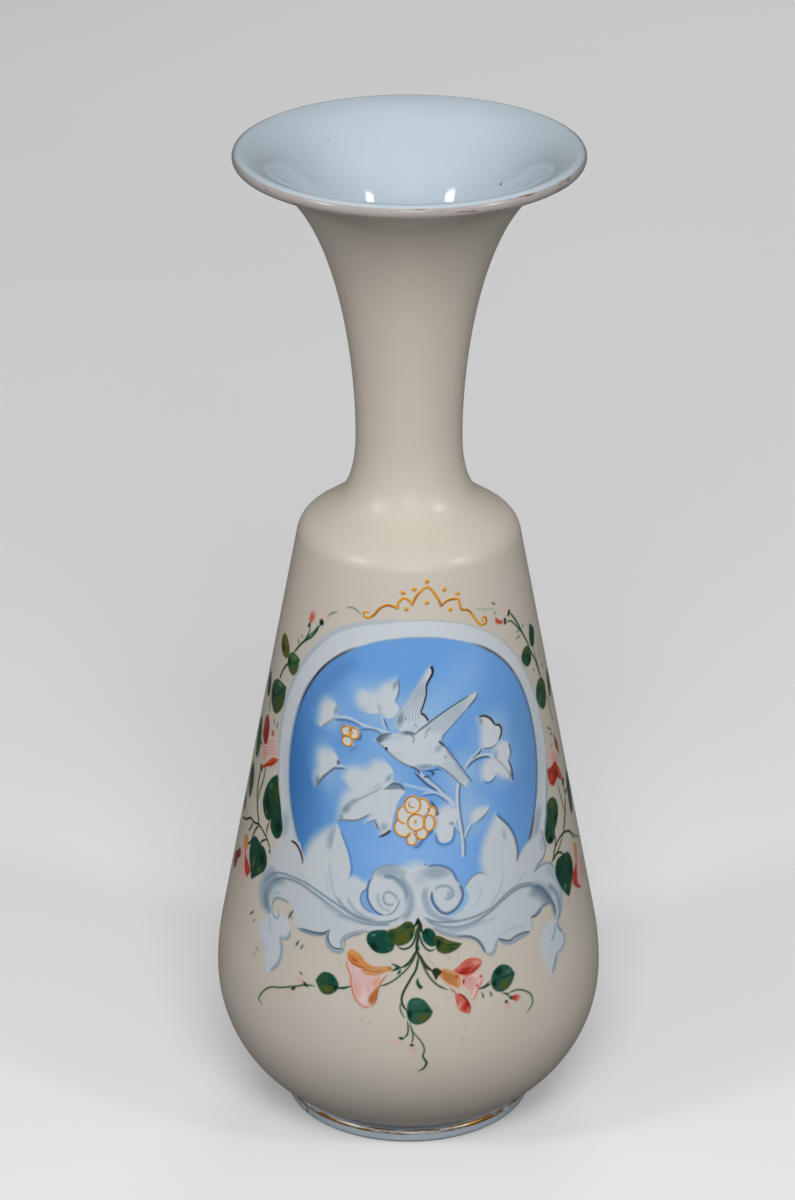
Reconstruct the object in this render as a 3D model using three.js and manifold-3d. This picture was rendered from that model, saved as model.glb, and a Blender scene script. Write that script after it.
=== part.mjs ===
// Opaline glass vase: a blown trumpet-necked body on an applied pad foot, a fired cream
// ground, gilding, and enamel decoration laid on in layers. Millimetres, +Z up, the painted
// front faces -Y, and the origin is the middle of the foot's underside.
import * as THREE from "three";
import { mergeVertices } from "three/addons/utils/BufferGeometryUtils.js";
import Module from "manifold-3d";

const wasm = await Module();
wasm.setup();

// Overall sizes of the glass
const height = 400;
const lipRadius = 66;
const lipBead = 2.6;
const lipRise = 10;
const lipThickening = 16;
const neckRadius = 20.1;
const neckHeight = 286;
const shoulderRadius = 42.1;
const shoulderHeight = 249.5;
const shoulderSlope = 34.3;
const shoulderRound = 11;
const bellyRadius = 76.3;
const bellyHeight = 57;
const upperBellyArc = 109;
const baseRadius = 45.3;
const footRadius = 49.1;
const footHeight = 6;
const wall = 3.3;
const floorThickness = 5;

// Smaller sizes of the glass
const sweepStart = 29;
const neckHandle = 33;
const lipHandle = 36;
const floorRound = 10;
const footShoulder = 2.6;
const footEdgeRound = 2;
const standWidth = 7;
const footHollow = 1.3;
const hollowSlope = 4;
const pontilRadius = 11;
const pontilDepth = 0.7;

// What is fired onto the glass
const groundThickness = 0.3;
const bareGlass = 1;
const fit = 0.05;
const enamel = 0.25;
const gilding = 0.15;
const beadRadius = 0.85;
const beadRise = 0.55;
const crestWidth = 0.9;

// The medallion, whose outline is an ellipse cut off level behind the scrolls
const medallionHeart = [3, 162];
const medallionHalfWidth = 55.3;
const medallionRise = 59.3;
const medallionFoot = 119;
const borderGap = 0.3;
const borderWidth = 7.5;

// Facets: round the vase, round a turn of a scroll, and the distance at which points are joined
const segments = 28;
const turnSteps = 9;
const weld = 1e-4;
const degree = Math.PI / 180;

// Profile tools. A profile is a list of points whose x is the radius and whose y is the height.

const point = (x, y) => new THREE.Vector2(x, y);

function arc(centre, radius, from, to, steps) {
  return Array.from({ length: steps + 1 }, (_, i) => {
    const angle = from + ((to - from) * i) / steps;
    return point(centre.x + radius * Math.cos(angle), centre.y + radius * Math.sin(angle));
  });
}

// The arc that rounds the corner between two straight runs.
function fillet(before, corner, after, radius, steps) {
  const back = before.clone().sub(corner).normalize();
  const on = after.clone().sub(corner).normalize();
  const half = Math.acos(THREE.MathUtils.clamp(back.dot(on), -1, 1)) / 2;
  const reach = radius / Math.tan(half);
  const start = corner.clone().addScaledVector(back, reach);
  const end = corner.clone().addScaledVector(on, reach);
  const middle = corner.clone().addScaledVector(back.clone().add(on).normalize(), reach / Math.cos(half));
  const from = Math.atan2(start.y - middle.y, start.x - middle.x);
  let to = Math.atan2(end.y - middle.y, end.x - middle.x);
  if (to - from > Math.PI) to -= 2 * Math.PI;
  if (from - to > Math.PI) to += 2 * Math.PI;
  return arc(middle, radius, from, to, steps);
}

// A line beside another, to the right of its direction when the distance is positive. The distance
// can be a number or a function of the height.
function beside(line, distance) {
  const across = line.slice(1).map((p, i) => {
    const run = p.clone().sub(line[i]).normalize();
    return point(run.y, -run.x);
  });
  return line.map((p, i) => {
    const first = across[Math.max(i - 1, 0)];
    const second = across[Math.min(i, across.length - 1)];
    const middle = first.clone().add(second).normalize();
    const amount = typeof distance === "function" ? distance(p.y) : distance;
    return p.clone().addScaledVector(middle, amount / middle.dot(first));
  });
}

// A thin band that follows a line between two distances from it, as a closed profile.
function band(line, inner, outer) {
  const near = beside(line, inner).reverse();
  const far = beside(line, outer);
  return [...far, ...near, far[0].clone()];
}

// A profile turned about the vertical axis.
function revolve(profile) {
  return new THREE.LatheGeometry(profile, segments).rotateX(Math.PI / 2);
}

// The outside of the body, from the edge of its base up to the underside of the lip

const lowerRun = bellyRadius - baseRadius;
const lowerRise = bellyHeight - footHeight;
const lowerArc = (lowerRun ** 2 + lowerRise ** 2) / (2 * lowerRun);
const lowerCentre = point(bellyRadius - lowerArc, bellyHeight);
const lowerAngle = (z, radius) => -Math.asin(THREE.MathUtils.clamp((bellyHeight - z) / radius, -1, 1));

function lowerBelly() {
  const edge = arc(lowerCentre, lowerArc, lowerAngle(footHeight, lowerArc), 0, 1)[0];
  const rest = arc(lowerCentre, lowerArc, lowerAngle(footHeight + bareGlass, lowerArc), 0, 5);
  return [edge, ...rest];
}

const shoulderCorner = point(shoulderRadius, shoulderHeight);
const upperCentre = point(bellyRadius - upperBellyArc, bellyHeight);

// The arc above the widest point, up to where the straight side touches it.
function upperBelly() {
  const toCorner = shoulderCorner.clone().sub(upperCentre);
  const touch = toCorner.angle() - Math.acos(Math.min(upperBellyArc / toCorner.length(), 1));
  return arc(upperCentre, upperBellyArc, 0, touch, 2).slice(1);
}

const slopeRun = point(-Math.cos(shoulderSlope * degree), Math.sin(shoulderSlope * degree));

function shoulderTo(radius) {
  return shoulderCorner.clone().addScaledVector(slopeRun, (radius - shoulderRadius) / slopeRun.x);
}

function shoulder(before) {
  return fillet(before, shoulderCorner, shoulderTo(sweepStart), shoulderRound, 3);
}

function neckSweep() {
  const sweep = new THREE.QuadraticBezierCurve(
    shoulderTo(sweepStart),
    shoulderTo(neckRadius),
    point(neckRadius, neckHeight),
  );
  return sweep.getPoints(4);
}

const lipCentre = point(lipRadius - lipBead, height - lipBead);

function trumpet() {
  const rise = lipRise * degree;
  const underLip = lipCentre.clone().add(point(Math.sin(rise), -Math.cos(rise)).multiplyScalar(lipBead));
  const flare = new THREE.CubicBezierCurve(
    point(neckRadius, neckHeight),
    point(neckRadius, neckHeight + neckHandle),
    underLip.clone().sub(point(Math.cos(rise), Math.sin(rise)).multiplyScalar(lipHandle)),
    underLip,
  );
  return flare.getPoints(8).slice(1);
}

function outside() {
  const belly = [...lowerBelly(), ...upperBelly()];
  return [...belly, ...shoulder(belly[belly.length - 1]), ...neckSweep(), ...trumpet()];
}

const outer = outside();

// The outside radius of the glass at a height.
function radiusAt(z) {
  const i = THREE.MathUtils.clamp(outer.findIndex((p) => p.y >= z), 1, outer.length - 1);
  const [a, b] = [outer[i - 1], outer[i]];
  return THREE.MathUtils.mapLinear(z, a.y, b.y, a.x, b.x);
}

// The blown body: the wall thickens towards the rounded lip, and the floor is rounded inside. The
// inner side takes every other point of the outer one, counted back from the lip.

const wallAt = (z) => {
  const up = THREE.MathUtils.smoothstep(z, height - lipThickening, height - 2 * lipBead);
  return THREE.MathUtils.lerp(wall, 2 * lipBead, up);
};

function lipArc() {
  return arc(lipCentre, lipBead, (lipRise - 90) * degree, (lipRise + 90) * degree, 5);
}

function inside() {
  const floor = footHeight + floorThickness;
  const hollowArc = lowerArc - wall;
  const corner = arc(lowerCentre, hollowArc, lowerAngle(floor, hollowArc), 0, 4);
  const side = beside(outer, (z) => -wallAt(z)).filter(
    (p, i) => outer[i].y > bellyHeight && (outer.length - i) % 2 === 0,
  );
  const round = fillet(point(0, floor), corner[0], corner[1], floorRound, 3);
  const above = [...corner.slice(1), ...side].filter((p) => p.y > round[round.length - 1].y);
  return [point(0, floor), ...round, ...above];
}

function glassBody() {
  return revolve([point(0, footHeight), ...outer, ...lipArc().slice(1), ...inside().reverse()]);
}

// The pad foot, hollowed a little underneath so that it stands on its rim, with a ground pontil mark

const footCorner = point(footRadius, footHeight);
const footFloor = point(footRadius, 0);
const footTop = fillet(footFloor, footCorner, point(0, footHeight), footShoulder, 4);
const footEdge = fillet(point(0, 0), footFloor, footCorner, footEdgeRound, 2);

function foot() {
  const stand = footRadius - footEdgeRound - standWidth;
  const pontil = [0, 0.5, 1].map((t) => point(pontilRadius * t, footHollow + pontilDepth * (1 - t * t)));
  const hollow = [point(stand - hollowSlope, footHollow), point(stand, 0)];
  return revolve([...pontil, ...hollow, ...footEdge, ...footTop, point(0, footHeight)]);
}

// The fired ground and the gilding, as thin skins over the glass

const groundLine = outer.slice(1);

function ground() {
  return revolve(band(groundLine, fit, fit + groundThickness));
}

function rimGilding() {
  return revolve(band(lipArc().slice(1, -2), fit, fit + gilding));
}

function footGilding() {
  return revolve(band(footTop.slice(1, -1), fit, fit + gilding));
}

// Enamels. Each is drawn on the unrolled surface: s is the distance round the vase from the middle of
// its front, and z is the height. The outline is laid flat on the plane that faces the piece, carried
// outwards as a prism, and cut to the layer of enamel that the piece is painted in.

function asSolid(geometry) {
  const bare = geometry.clone();
  bare.deleteAttribute("normal");
  bare.deleteAttribute("uv");
  const merged = mergeVertices(bare, weld);
  return new wasm.Manifold(
    new wasm.Mesh({
      numProp: 3,
      vertProperties: new Float32Array(merged.attributes.position.array),
      triVerts: new Uint32Array(merged.index.array),
    }),
  );
}

function asGeometry(solid) {
  const mesh = solid.getMesh();
  const geometry = new THREE.BufferGeometry();
  geometry.setAttribute("position", new THREE.BufferAttribute(mesh.vertProperties, 3));
  geometry.setIndex(new THREE.BufferAttribute(mesh.triVerts, 1));
  geometry.computeVertexNormals();
  return geometry;
}

const decorated = outer.slice(1).filter((p) => p.y < shoulderTo(sweepStart).y);

// A layer of enamel over the ground: number 0 lies on the ground and each further one on the last.
function layer(number, thickness = enamel) {
  const inner = 2 * fit + groundThickness + number * (enamel + fit);
  return asSolid(revolve(band(decorated, inner, inner + thickness)));
}

const first = layer(0);
const second = layer(1);
const third = layer(2);
const raised = layer(0, beadRise);

const azimuthOf = ([s, z]) => s / radiusAt(z);

// A prism from a closed outline of unrolled points, facing outwards at an angle round the vase.
function prism(outline, azimuth) {
  const flat = outline.map(([s, z]) => {
    const radius = radiusAt(z);
    return point(radius * Math.sin(s / radius - azimuth), z);
  });
  const geometry = new THREE.ExtrudeGeometry(new THREE.Shape(flat), {
    depth: 2 * bellyRadius,
    bevelEnabled: false,
  });
  return asSolid(geometry.rotateX(Math.PI / 2).rotateZ(azimuth));
}

function relief(outlines, skin, facing) {
  const azimuth = azimuthOf(facing);
  const joined = outlines.map((outline) => prism(outline, azimuth)).reduce((a, b) => a.add(b));
  return asGeometry(joined.intersect(skin));
}

// Shapes on the unrolled surface. Places are [s, z].

const thinEnd = 0.5;
const bluntEnd = 0.7;

// A line of paint of some width, whose ends have a share of that width.
function stroke(line, width, endShare) {
  const last = line.length - 1;
  const edge = (side) => line.map((p, i) => {
    const run = line[Math.min(i + 1, last)].clone().sub(line[Math.max(i - 1, 0)]).normalize();
    const taper = i === 0 || i === last ? endShare : 1;
    const half = (side * width * taper) / 2;
    return [p.x - run.y * half, p.y + run.x * half];
  });
  return [...edge(-1), ...edge(1).reverse()];
}

// A brush stroke through some places, drawn out thin at both ends.
function brush(places, width) {
  return stroke(places.map(([s, z]) => point(s, z)), width, thinEnd);
}

// A leaf, petal or feather from its base to its tip. The belly is where it is widest, as a share of
// its length, and the bend moves its middle rib sideways.
function blade(base, tip, width, { bend = 0, belly = 0.45, steps = 4 } = {}) {
  const [ds, dz] = [tip[0] - base[0], tip[1] - base[1]];
  const length = Math.hypot(ds, dz);
  const power = Math.log(0.5) / Math.log(belly);
  const edge = (t, side) => {
    const off = 4 * bend * t * (1 - t) + (side * width * Math.sin(Math.PI * t ** power)) / 2;
    return [base[0] + ds * t - (dz / length) * off, base[1] + dz * t + (ds / length) * off];
  };
  const shares = Array.from({ length: steps - 1 }, (_, i) => (i + 1) / steps);
  return [base, ...shares.map((t) => edge(t, -1)), tip, ...shares.map((t) => edge(t, 1)).reverse()];
}

function disc([s, z], radius, steps = 8) {
  return arc(point(s, z), radius, 0, (2 * Math.PI * (steps - 1)) / steps, steps - 1).map((p) => [p.x, p.y]);
}

// A scroll that winds in from its outer radius to its eye.
function volute([s, z], radius, eye, { from, turns, width }) {
  const steps = Math.round(turnSteps * Math.abs(turns));
  const line = Array.from({ length: steps + 1 }, (_, i) => {
    const angle = from * degree + (2 * Math.PI * turns * i) / steps;
    const out = THREE.MathUtils.lerp(radius - width / 2, eye, i / steps);
    return point(s + out * Math.cos(angle), z + out * Math.sin(angle));
  });
  return stroke(line, width, bluntEnd);
}

// The medallion: a blue field in a broad white border, which is open at the foot behind the scrolls

function medallionOutline(margin) {
  const [s, z] = medallionHeart;
  const start = -Math.asin(THREE.MathUtils.clamp((z - medallionFoot) / (medallionRise + margin), -1, 1));
  const steps = 16;
  return Array.from({ length: steps + 1 }, (_, i) => {
    const angle = THREE.MathUtils.lerp(start, Math.PI - start, i / steps);
    return [
      s + (medallionHalfWidth + margin) * Math.cos(angle),
      z + (medallionRise + margin) * Math.sin(angle),
    ];
  });
}

function medallionField() {
  return relief([medallionOutline(0)], first, medallionHeart);
}

function medallionBorder() {
  const azimuth = azimuthOf(medallionHeart);
  const opening = medallionOutline(borderGap);
  const sides = [opening[opening.length - 1][0], opening[0][0]];
  opening.push(...sides.map((s) => [s, medallionFoot - borderWidth]));
  const whole = prism(medallionOutline(borderWidth), azimuth);
  return asGeometry(whole.subtract(prism(opening, azimuth)).intersect(first));
}

// White scrolls: on each side a volute, a row of acanthus lobes and a long leaf that curls outwards

function leftScroll() {
  const outlines = [
    volute([-8, 120.5], 8.5, 1.8, { from: 60, turns: 1.4, width: 3.4 }),
    disc([-7.2, 119.4], 2.6),
    blade([-4, 108], [-13, 131.5], 9, { bend: 2, belly: 0.55 }),
    blade([-2, 111], [-47, 120], 15, { bend: -2 }),
    blade([-31, 114], [-28.5, 146], 18, { bend: 1 }),
    blade([-38, 117], [-47, 133.5], 10, { bend: 2 }),
    blade([-43, 120], [-69, 110], 11, { bend: -3 }),
    blade([-20, 112], [-32.5, 98], 11),
    blade([-60, 119], [-58, 98], 10, { bend: -2 }),
    blade([-58, 104], [-59.5, 78.5], 12, { bend: 1.5, belly: 0.35 }),
  ];
  return relief(outlines, second, [-30, 115]);
}

function rightScroll() {
  const outlines = [
    volute([14.5, 119.5], 8, 1.8, { from: 120, turns: -1.4, width: 3.2 }),
    disc([15.2, 120.4], 2.5),
    blade([9, 108], [7, 132.5], 8, { bend: -2, belly: 0.55 }),
    blade([8, 110], [49, 117.5], 15, { bend: 1 }),
    blade([35, 114], [35, 148.5], 17, { bend: -1 }),
    blade([50, 116], [57, 135], 15, { bend: -1 }),
    blade([45, 118], [69, 100], 13, { bend: 4 }),
    blade([22, 111], [31, 94.5], 10),
    blade([36, 114], [41, 96.5], 10),
    blade([67, 106], [64.5, 77.5], 13, { bend: -2, belly: 0.4 }),
  ];
  return relief(outlines, second, [34, 115]);
}

// The bird, with two raised wings and a fanned tail

function bird() {
  const outlines = [
    blade([-11.5, 180], [18, 173], 13, { bend: -1.5, belly: 0.42, steps: 6 }),
    blade([-8.5, 182.2], [-14.5, 181], 3, { steps: 3 }),
    disc([-8.5, 181.2], 3.4),
    blade([1, 179], [8.2, 210], 12, { bend: 2.5, belly: 0.42 }),
    blade([2, 177], [27, 197.2], 11, { bend: -1.5 }),
    blade([7, 175], [24.5, 162.8], 9, { bend: -1, belly: 0.6 }),
  ];
  return relief(outlines, third, [5, 185]);
}

// Sprays of vine leaves about the bird

function upperVine() {
  const outlines = [
    brush([[-9, 184], [-20, 186.8], [-30, 187]], 1),
    blade([-28, 185.5], [-36, 192], 8, { belly: 0.5 }),
    blade([-28, 187], [-36, 183], 6, { belly: 0.5 }),
    brush([[-9, 184], [-9.5, 191]], 1.3),
    blade([-9.5, 189], [-4.3, 205], 10, { bend: 1.5 }),
    blade([-9, 191], [-20.5, 198.5], 9, { bend: -1 }),
  ];
  return relief(outlines, second, [-18, 190]);
}

function leftVineLeaf() {
  const outlines = [
    blade([-26, 168.5], [-38.5, 160.5], 6, { bend: 1.5, belly: 0.5 }),
    blade([-26, 168.5], [-35.5, 175], 8, { bend: -1, belly: 0.5 }),
    blade([-26, 168.5], [-37, 167.5], 7, { belly: 0.6 }),
  ];
  return relief(outlines, second, [-30, 168]);
}

function broadVineLeaf() {
  const outlines = [
    blade([-2, 161], [-23.5, 166], 15, { bend: -2 }),
    blade([-2, 160], [-27.5, 148.2], 13, { bend: 2.5, belly: 0.55 }),
    blade([-3, 163], [-9, 145], 12, { bend: -2, belly: 0.6 }),
    blade([-3, 159], [-8, 174], 9, { belly: 0.6 }),
  ];
  return relief(outlines, second, [-14, 160]);
}

function rightVine() {
  const outlines = [
    brush([[19.3, 167], [19.2, 155], [20.8, 142]], 1.1),
    brush([[20.2, 142.5], [26, 148.5]], 1.2),
    blade([24.5, 148], [32.5, 151.5], 4.5, { steps: 4 }),
    brush([[19, 164.5], [30, 176]], 1.3),
    blade([28.5, 174], [27.8, 188], 8, { bend: -2.5 }),
    blade([28.5, 175], [38, 180.5], 9, { belly: 0.6 }),
    brush([[20, 166], [26, 170.6], [33, 170.5]], 1),
    blade([30, 170], [43.3, 159], 9, { bend: 1, belly: 0.5 }),
    blade([31, 169], [42, 173.5], 8, { bend: 1, belly: 0.6 }),
  ];
  return relief(outlines, second, [28, 165]);
}

function lowerVine() {
  const outlines = [
    brush([[1, 165], [8, 161.8], [17.4, 155.2]], 1),
    blade([16.5, 156.5], [13, 140.5], 8, { bend: -1, belly: 0.55 }),
  ];
  return relief(outlines, second, [10, 155]);
}

// Bunches of grapes, as round dots that touch: the third number is a grape's radius

const largeGrapes = [
  [1.2, 156.7, 3.4], [5.3, 156, 3.6], [8.5, 154, 2.8], [-2.5, 153, 4], [2, 150.5, 3.6],
  [7.3, 149.8, 3.3], [-3, 147.5, 3.7], [0.8, 143, 2.4], [5, 146, 3.1],
];
const smallGrapes = [[-24.3, 183, 2.4], [-21.3, 182.8, 2.4], [-24.3, 179.3, 2.4]];

function grapes(bunch) {
  return relief(bunch.map(([s, z, radius]) => disc([s, z], radius)), third, bunch[0]);
}

// The gilt crest over the medallion: a scalloped line between two curled ends, set with raised beads

function crest() {
  const runs = [
    [[-17.5, 229.8], [-16, 228], [-13.5, 229.3], [-9, 233.4], [-4.4, 232.4]],
    [[-4.5, 232.4], [-3.8, 235], [-1.8, 236.4], [1, 233.9]],
    [[0.8, 233.9], [3.6, 238.6], [6.5, 240.5], [9.4, 238], [12.1, 232.8]],
    [[11.9, 232.9], [15, 234.8], [18.9, 234.3], [20.2, 230]],
    [[19.8, 230.4], [24, 228.5], [27.6, 224.2], [30, 223.4], [31.2, 224.8]],
  ];
  return relief(runs.map((run) => brush(run, crestWidth)), first, [6, 233]);
}

const beadPlaces = [
  [-2.3, 238.7], [1.9, 239.8], [6.7, 242.7], [13, 239], [18.6, 237],
  [-1.2, 232], [6.6, 234.5], [15.7, 231],
];

const bead = (place) => relief([disc(place, beadRadius, 6)], raised, place);

// Garlands at the two sides: one long stem with its leaves and buds

function leftGarland() {
  const outlines = [
    brush([[-36, 222], [-46, 211.5], [-59.5, 198], [-70, 180], [-74, 165], [-75.5, 145], [-71, 128]], 1.3),
    brush([[-46, 211], [-43.5, 216], [-42.8, 220]], 1),
    brush([[-71.6, 131.5], [-80, 130], [-95, 125]], 1.3),
    blade([-37.5, 220], [-35.5, 223.5], 2.4, { steps: 3 }),
    blade([-43, 218.5], [-41.5, 225.5], 2.4, { steps: 3 }),
    blade([-61, 195], [-61.5, 209], 9, { bend: 2, belly: 0.6 }),
    blade([-59.5, 198], [-49.5, 203.5], 8, { bend: -1.5 }),
    blade([-70.5, 179.5], [-57.5, 189.5], 12, { bend: -1 }),
    blade([-76, 147], [-60.5, 148], 13, { bend: -3 }),
    blade([-74, 131], [-58, 138], 11, { bend: -1 }),
    blade([-72, 131], [-74, 110], 13, { bend: 1 }),
  ];
  return relief(outlines, first, [-68, 165]);
}

function rightGarland() {
  const outlines = [
    brush([[43, 223], [50, 216], [62, 200], [72, 178], [79, 158], [82, 143], [78, 130], [67, 118]], 1.3),
    brush([[41.5, 220.5], [46, 218.7], [51.5, 214.5]], 1),
    brush([[71, 122.5], [79, 126], [88, 120]], 1.1),
    blade([45, 221.5], [41, 224.5], 2.4, { steps: 3 }),
    blade([42.8, 220.3], [36, 223.8], 2.4, { steps: 3 }),
    blade([62, 200], [60.5, 213], 8, { bend: -1.5 }),
    blade([62, 201], [54.5, 203.5], 6, { belly: 0.55 }),
    blade([73.5, 178], [65, 188.5], 12, { bend: -1 }),
    blade([80, 153], [67, 143.5], 8, { bend: 2 }),
    blade([79, 132], [65.5, 137.5], 13, { bend: -1 }),
    blade([69, 121.5], [78, 103], 13, { bend: -1 }),
  ];
  return relief(outlines, first, [68, 165]);
}

// Trumpet flowers, laid over the stems: each is a few petals that spread from its calyx

const flowers = {
  left_upper_flower: [
    disc([-74, 153.5], 1.8),
    blade([-74, 153], [-77, 171], 9, { belly: 0.6 }),
    blade([-74, 153], [-60, 161], 6),
    blade([-74, 153], [-66, 169], 6, { belly: 0.6 }),
  ],
  left_lower_flower: [
    disc([-83, 124], 1.8),
    blade([-83, 124], [-101, 104], 9, { bend: -1.5, belly: 0.6 }),
    blade([-83, 124], [-90, 104], 7, { belly: 0.6 }),
    blade([-83, 124], [-79, 109], 6, { belly: 0.6 }),
  ],
  right_upper_flower: [
    disc([82.5, 145], 1.8),
    blade([82.5, 145], [67, 151.5], 9, { bend: 1, belly: 0.6 }),
    blade([82.5, 145], [70, 160.5], 8, { belly: 0.6 }),
    blade([82.5, 145], [77, 165.5], 7, { belly: 0.6 }),
  ],
  right_lower_flower: [
    disc([88.7, 118.5], 1.8),
    blade([88.7, 118.5], [84, 101.5], 7, { belly: 0.65 }),
    blade([88.7, 118.5], [94, 101.5], 7, { belly: 0.65 }),
    blade([88.7, 118.5], [103, 103], 8, { bend: 1, belly: 0.6 }),
  ],
  bouquet_left_flower: [
    disc([-5.5, 92], 1.8),
    blade([-5.5, 92], [-24.5, 94.5], 7, { bend: 1, belly: 0.6 }),
    blade([-5.5, 92], [-17.5, 75.7], 12, { bend: -1, belly: 0.65 }),
    blade([-5.5, 92], [-24, 86], 8, { belly: 0.6 }),
  ],
  bouquet_right_flower: [
    disc([10.5, 90.5], 1.8),
    blade([10.5, 90.5], [29, 92], 9, { bend: 1.5, belly: 0.7 }),
    blade([10.5, 90.5], [24, 73], 8, { bend: -1.5, belly: 0.7 }),
    blade([10.5, 90.5], [28, 83], 9, { belly: 0.7 }),
  ],
};

// The bouquet under the scrolls: a bow of leaves, then trailing stems with leaves and buds

function bouquetGreens() {
  const outlines = [
    blade([3.4, 106.5], [-8.5, 103], 11),
    blade([3, 106], [-17, 101.5], 9, { bend: -1.5, belly: 0.6 }),
    blade([3, 106.5], [12, 103], 8),
    blade([3.4, 105], [21, 100.3], 8, { bend: 1, belly: 0.6 }),
    brush([[3.4, 111], [3, 100], [5, 93], [10, 89.5]], 1.5),
    brush([[3, 99], [-4.5, 91]], 1.6),
    brush([[3, 100], [-7, 87.5], [-24, 82.8], [-36, 81.5], [-58, 74], [-66.6, 65]], 1.2),
    brush([[3.4, 99], [14, 83.5], [33, 82], [43, 75]], 1.2),
    brush([[3.2, 99], [-1, 85], [-1.6, 76], [0.6, 68], [1, 60]], 1.2),
    brush([[0.6, 70], [4, 64], [6.6, 53], [3.4, 49.2]], 0.9),
    brush([[40, 76.8], [46, 76.3], [52, 70.5], [49.5, 66.5]], 0.8),
    blade([-28, 82.5], [-37.5, 82.5], 9),
    blade([-1.5, 76.5], [9, 75], 11),
    blade([33, 82], [43.5, 83], 11),
    blade([1, 62], [0, 57.5], 2, { steps: 3 }),
  ];
  return relief(outlines, first, [2, 90]);
}

// Colours and finishes

const finishes = {
  opal: { color: 0xbccfdb, roughness: 0.12, metalness: 0 },
  cream: { color: 0xd8cdbb, roughness: 0.5, metalness: 0 },
  gilt: { color: 0xb9853c, roughness: 0.35, metalness: 0.9 },
  goldEnamel: { color: 0xcf8a2a, roughness: 0.45, metalness: 0.2 },
  white: { color: 0xd3dbe2, roughness: 0.4, metalness: 0 },
  blue: { color: 0x5f93cf, roughness: 0.4, metalness: 0 },
  green: { color: 0x2b5141, roughness: 0.45, metalness: 0 },
  red: { color: 0xb4523f, roughness: 0.45, metalness: 0 },
  orange: { color: 0xcf8f5a, roughness: 0.45, metalness: 0 },
};

function piece(name, geometry, finish) {
  const mesh = new THREE.Mesh(geometry, new THREE.MeshStandardMaterial(finishes[finish]));
  mesh.name = name;
  return mesh;
}

const vase = new THREE.Group();
vase.name = "opaline_vase";
vase.add(
  piece("glass_body", glassBody(), "opal"),
  piece("pad_foot", foot(), "opal"),
  piece("cream_ground", ground(), "cream"),
  piece("rim_gilding", rimGilding(), "gilt"),
  piece("foot_gilding", footGilding(), "gilt"),
  piece("medallion_field", medallionField(), "blue"),
  piece("medallion_border", medallionBorder(), "white"),
  piece("left_scroll", leftScroll(), "white"),
  piece("right_scroll", rightScroll(), "white"),
  piece("bird", bird(), "white"),
  piece("upper_vine", upperVine(), "white"),
  piece("left_vine_leaf", leftVineLeaf(), "white"),
  piece("broad_vine_leaf", broadVineLeaf(), "white"),
  piece("right_vine", rightVine(), "white"),
  piece("lower_vine", lowerVine(), "white"),
  piece("large_grapes", grapes(largeGrapes), "goldEnamel"),
  piece("small_grapes", grapes(smallGrapes), "goldEnamel"),
  piece("gilt_crest", crest(), "goldEnamel"),
  piece("left_garland", leftGarland(), "green"),
  piece("right_garland", rightGarland(), "green"),
  piece("bouquet_greens", bouquetGreens(), "green"),
);
beadPlaces.forEach((place, i) => {
  vase.add(piece(`crest_bead_${i + 1}`, bead(place), "goldEnamel"));
});
for (const [name, petals] of Object.entries(flowers)) {
  const calyx = petals[0][0];
  vase.add(piece(name, relief(petals, second, calyx), name === "bouquet_left_flower" ? "orange" : "red"));
}

export default vase;
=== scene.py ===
"""Opaline glass vase: blown opal glass under a fired cream ground, gilding and painted enamels.

Every piece is worked out with numpy on a grid of two parameters, in millimetres, and put into the
mesh in metres. The painted front faces -Y and +Z is up.
"""
import math
from functools import partial

import bpy
import numpy as np
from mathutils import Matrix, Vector


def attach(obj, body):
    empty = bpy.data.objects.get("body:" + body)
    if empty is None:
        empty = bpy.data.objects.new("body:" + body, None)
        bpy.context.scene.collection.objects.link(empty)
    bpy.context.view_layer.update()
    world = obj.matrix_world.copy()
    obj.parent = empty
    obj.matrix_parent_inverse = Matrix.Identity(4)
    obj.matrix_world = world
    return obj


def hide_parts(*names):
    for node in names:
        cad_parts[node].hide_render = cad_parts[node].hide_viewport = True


bl_info = {
    "name": "Opaline Vase",
    "version": (1, 0, 0),
    "blender": (4, 5, 0),
    "location": "View3D > Sidebar > Vase",
    "description": "Blows, gilds and paints an opal glass vase with a trumpet mouth",
    "category": "Add Mesh",
}

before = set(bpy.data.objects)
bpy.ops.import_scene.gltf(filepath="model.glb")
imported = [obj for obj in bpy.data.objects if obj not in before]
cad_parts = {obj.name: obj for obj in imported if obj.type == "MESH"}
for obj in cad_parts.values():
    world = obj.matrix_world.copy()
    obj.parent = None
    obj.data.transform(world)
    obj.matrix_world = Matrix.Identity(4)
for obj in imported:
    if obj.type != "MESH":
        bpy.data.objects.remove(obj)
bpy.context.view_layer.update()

MM = 0.001  # a millimetre in metres; every other length is in millimetres unless it says otherwise
FIT = 0.05  # clearance of what is fired on
GROUND, GILDING = 0.3, 0.15  # their thickness


# ---------------------------------------------------------------- settings

LENGTHS = {
    "height": ("Height", "Height of the vase over the lip", 400.0),
    "lip_radius": ("Lip radius", "Radius over the rounded lip", 66.0),
    "lip_bead": ("Lip bead", "Radius of the fire-polished lip's round edge", 2.6),
    "neck_radius": ("Neck radius", "Radius of the neck where it is slimmest", 20.1),
    "neck_height": ("Neck height", "Height at which the neck is slimmest", 286.0),
    "shoulder_radius": ("Shoulder radius", "Radius of the corner that the shoulder rounds", 42.1),
    "shoulder_height": ("Shoulder height", "Height of the corner that the shoulder rounds", 249.5),
    "belly_radius": ("Belly radius", "Radius of the body where it is widest", 76.3),
    "belly_height": ("Belly height", "Height at which the body is widest", 57.0),
    "base_radius": ("Base radius", "Radius of the body where it meets the foot", 45.3),
    "foot_radius": ("Foot radius", "Radius of the pad foot", 49.1),
    "foot_height": ("Foot height", "Thickness of the pad foot", 6.0),
    "wall": ("Wall", "Thickness of the blown wall", 3.3),
}

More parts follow.
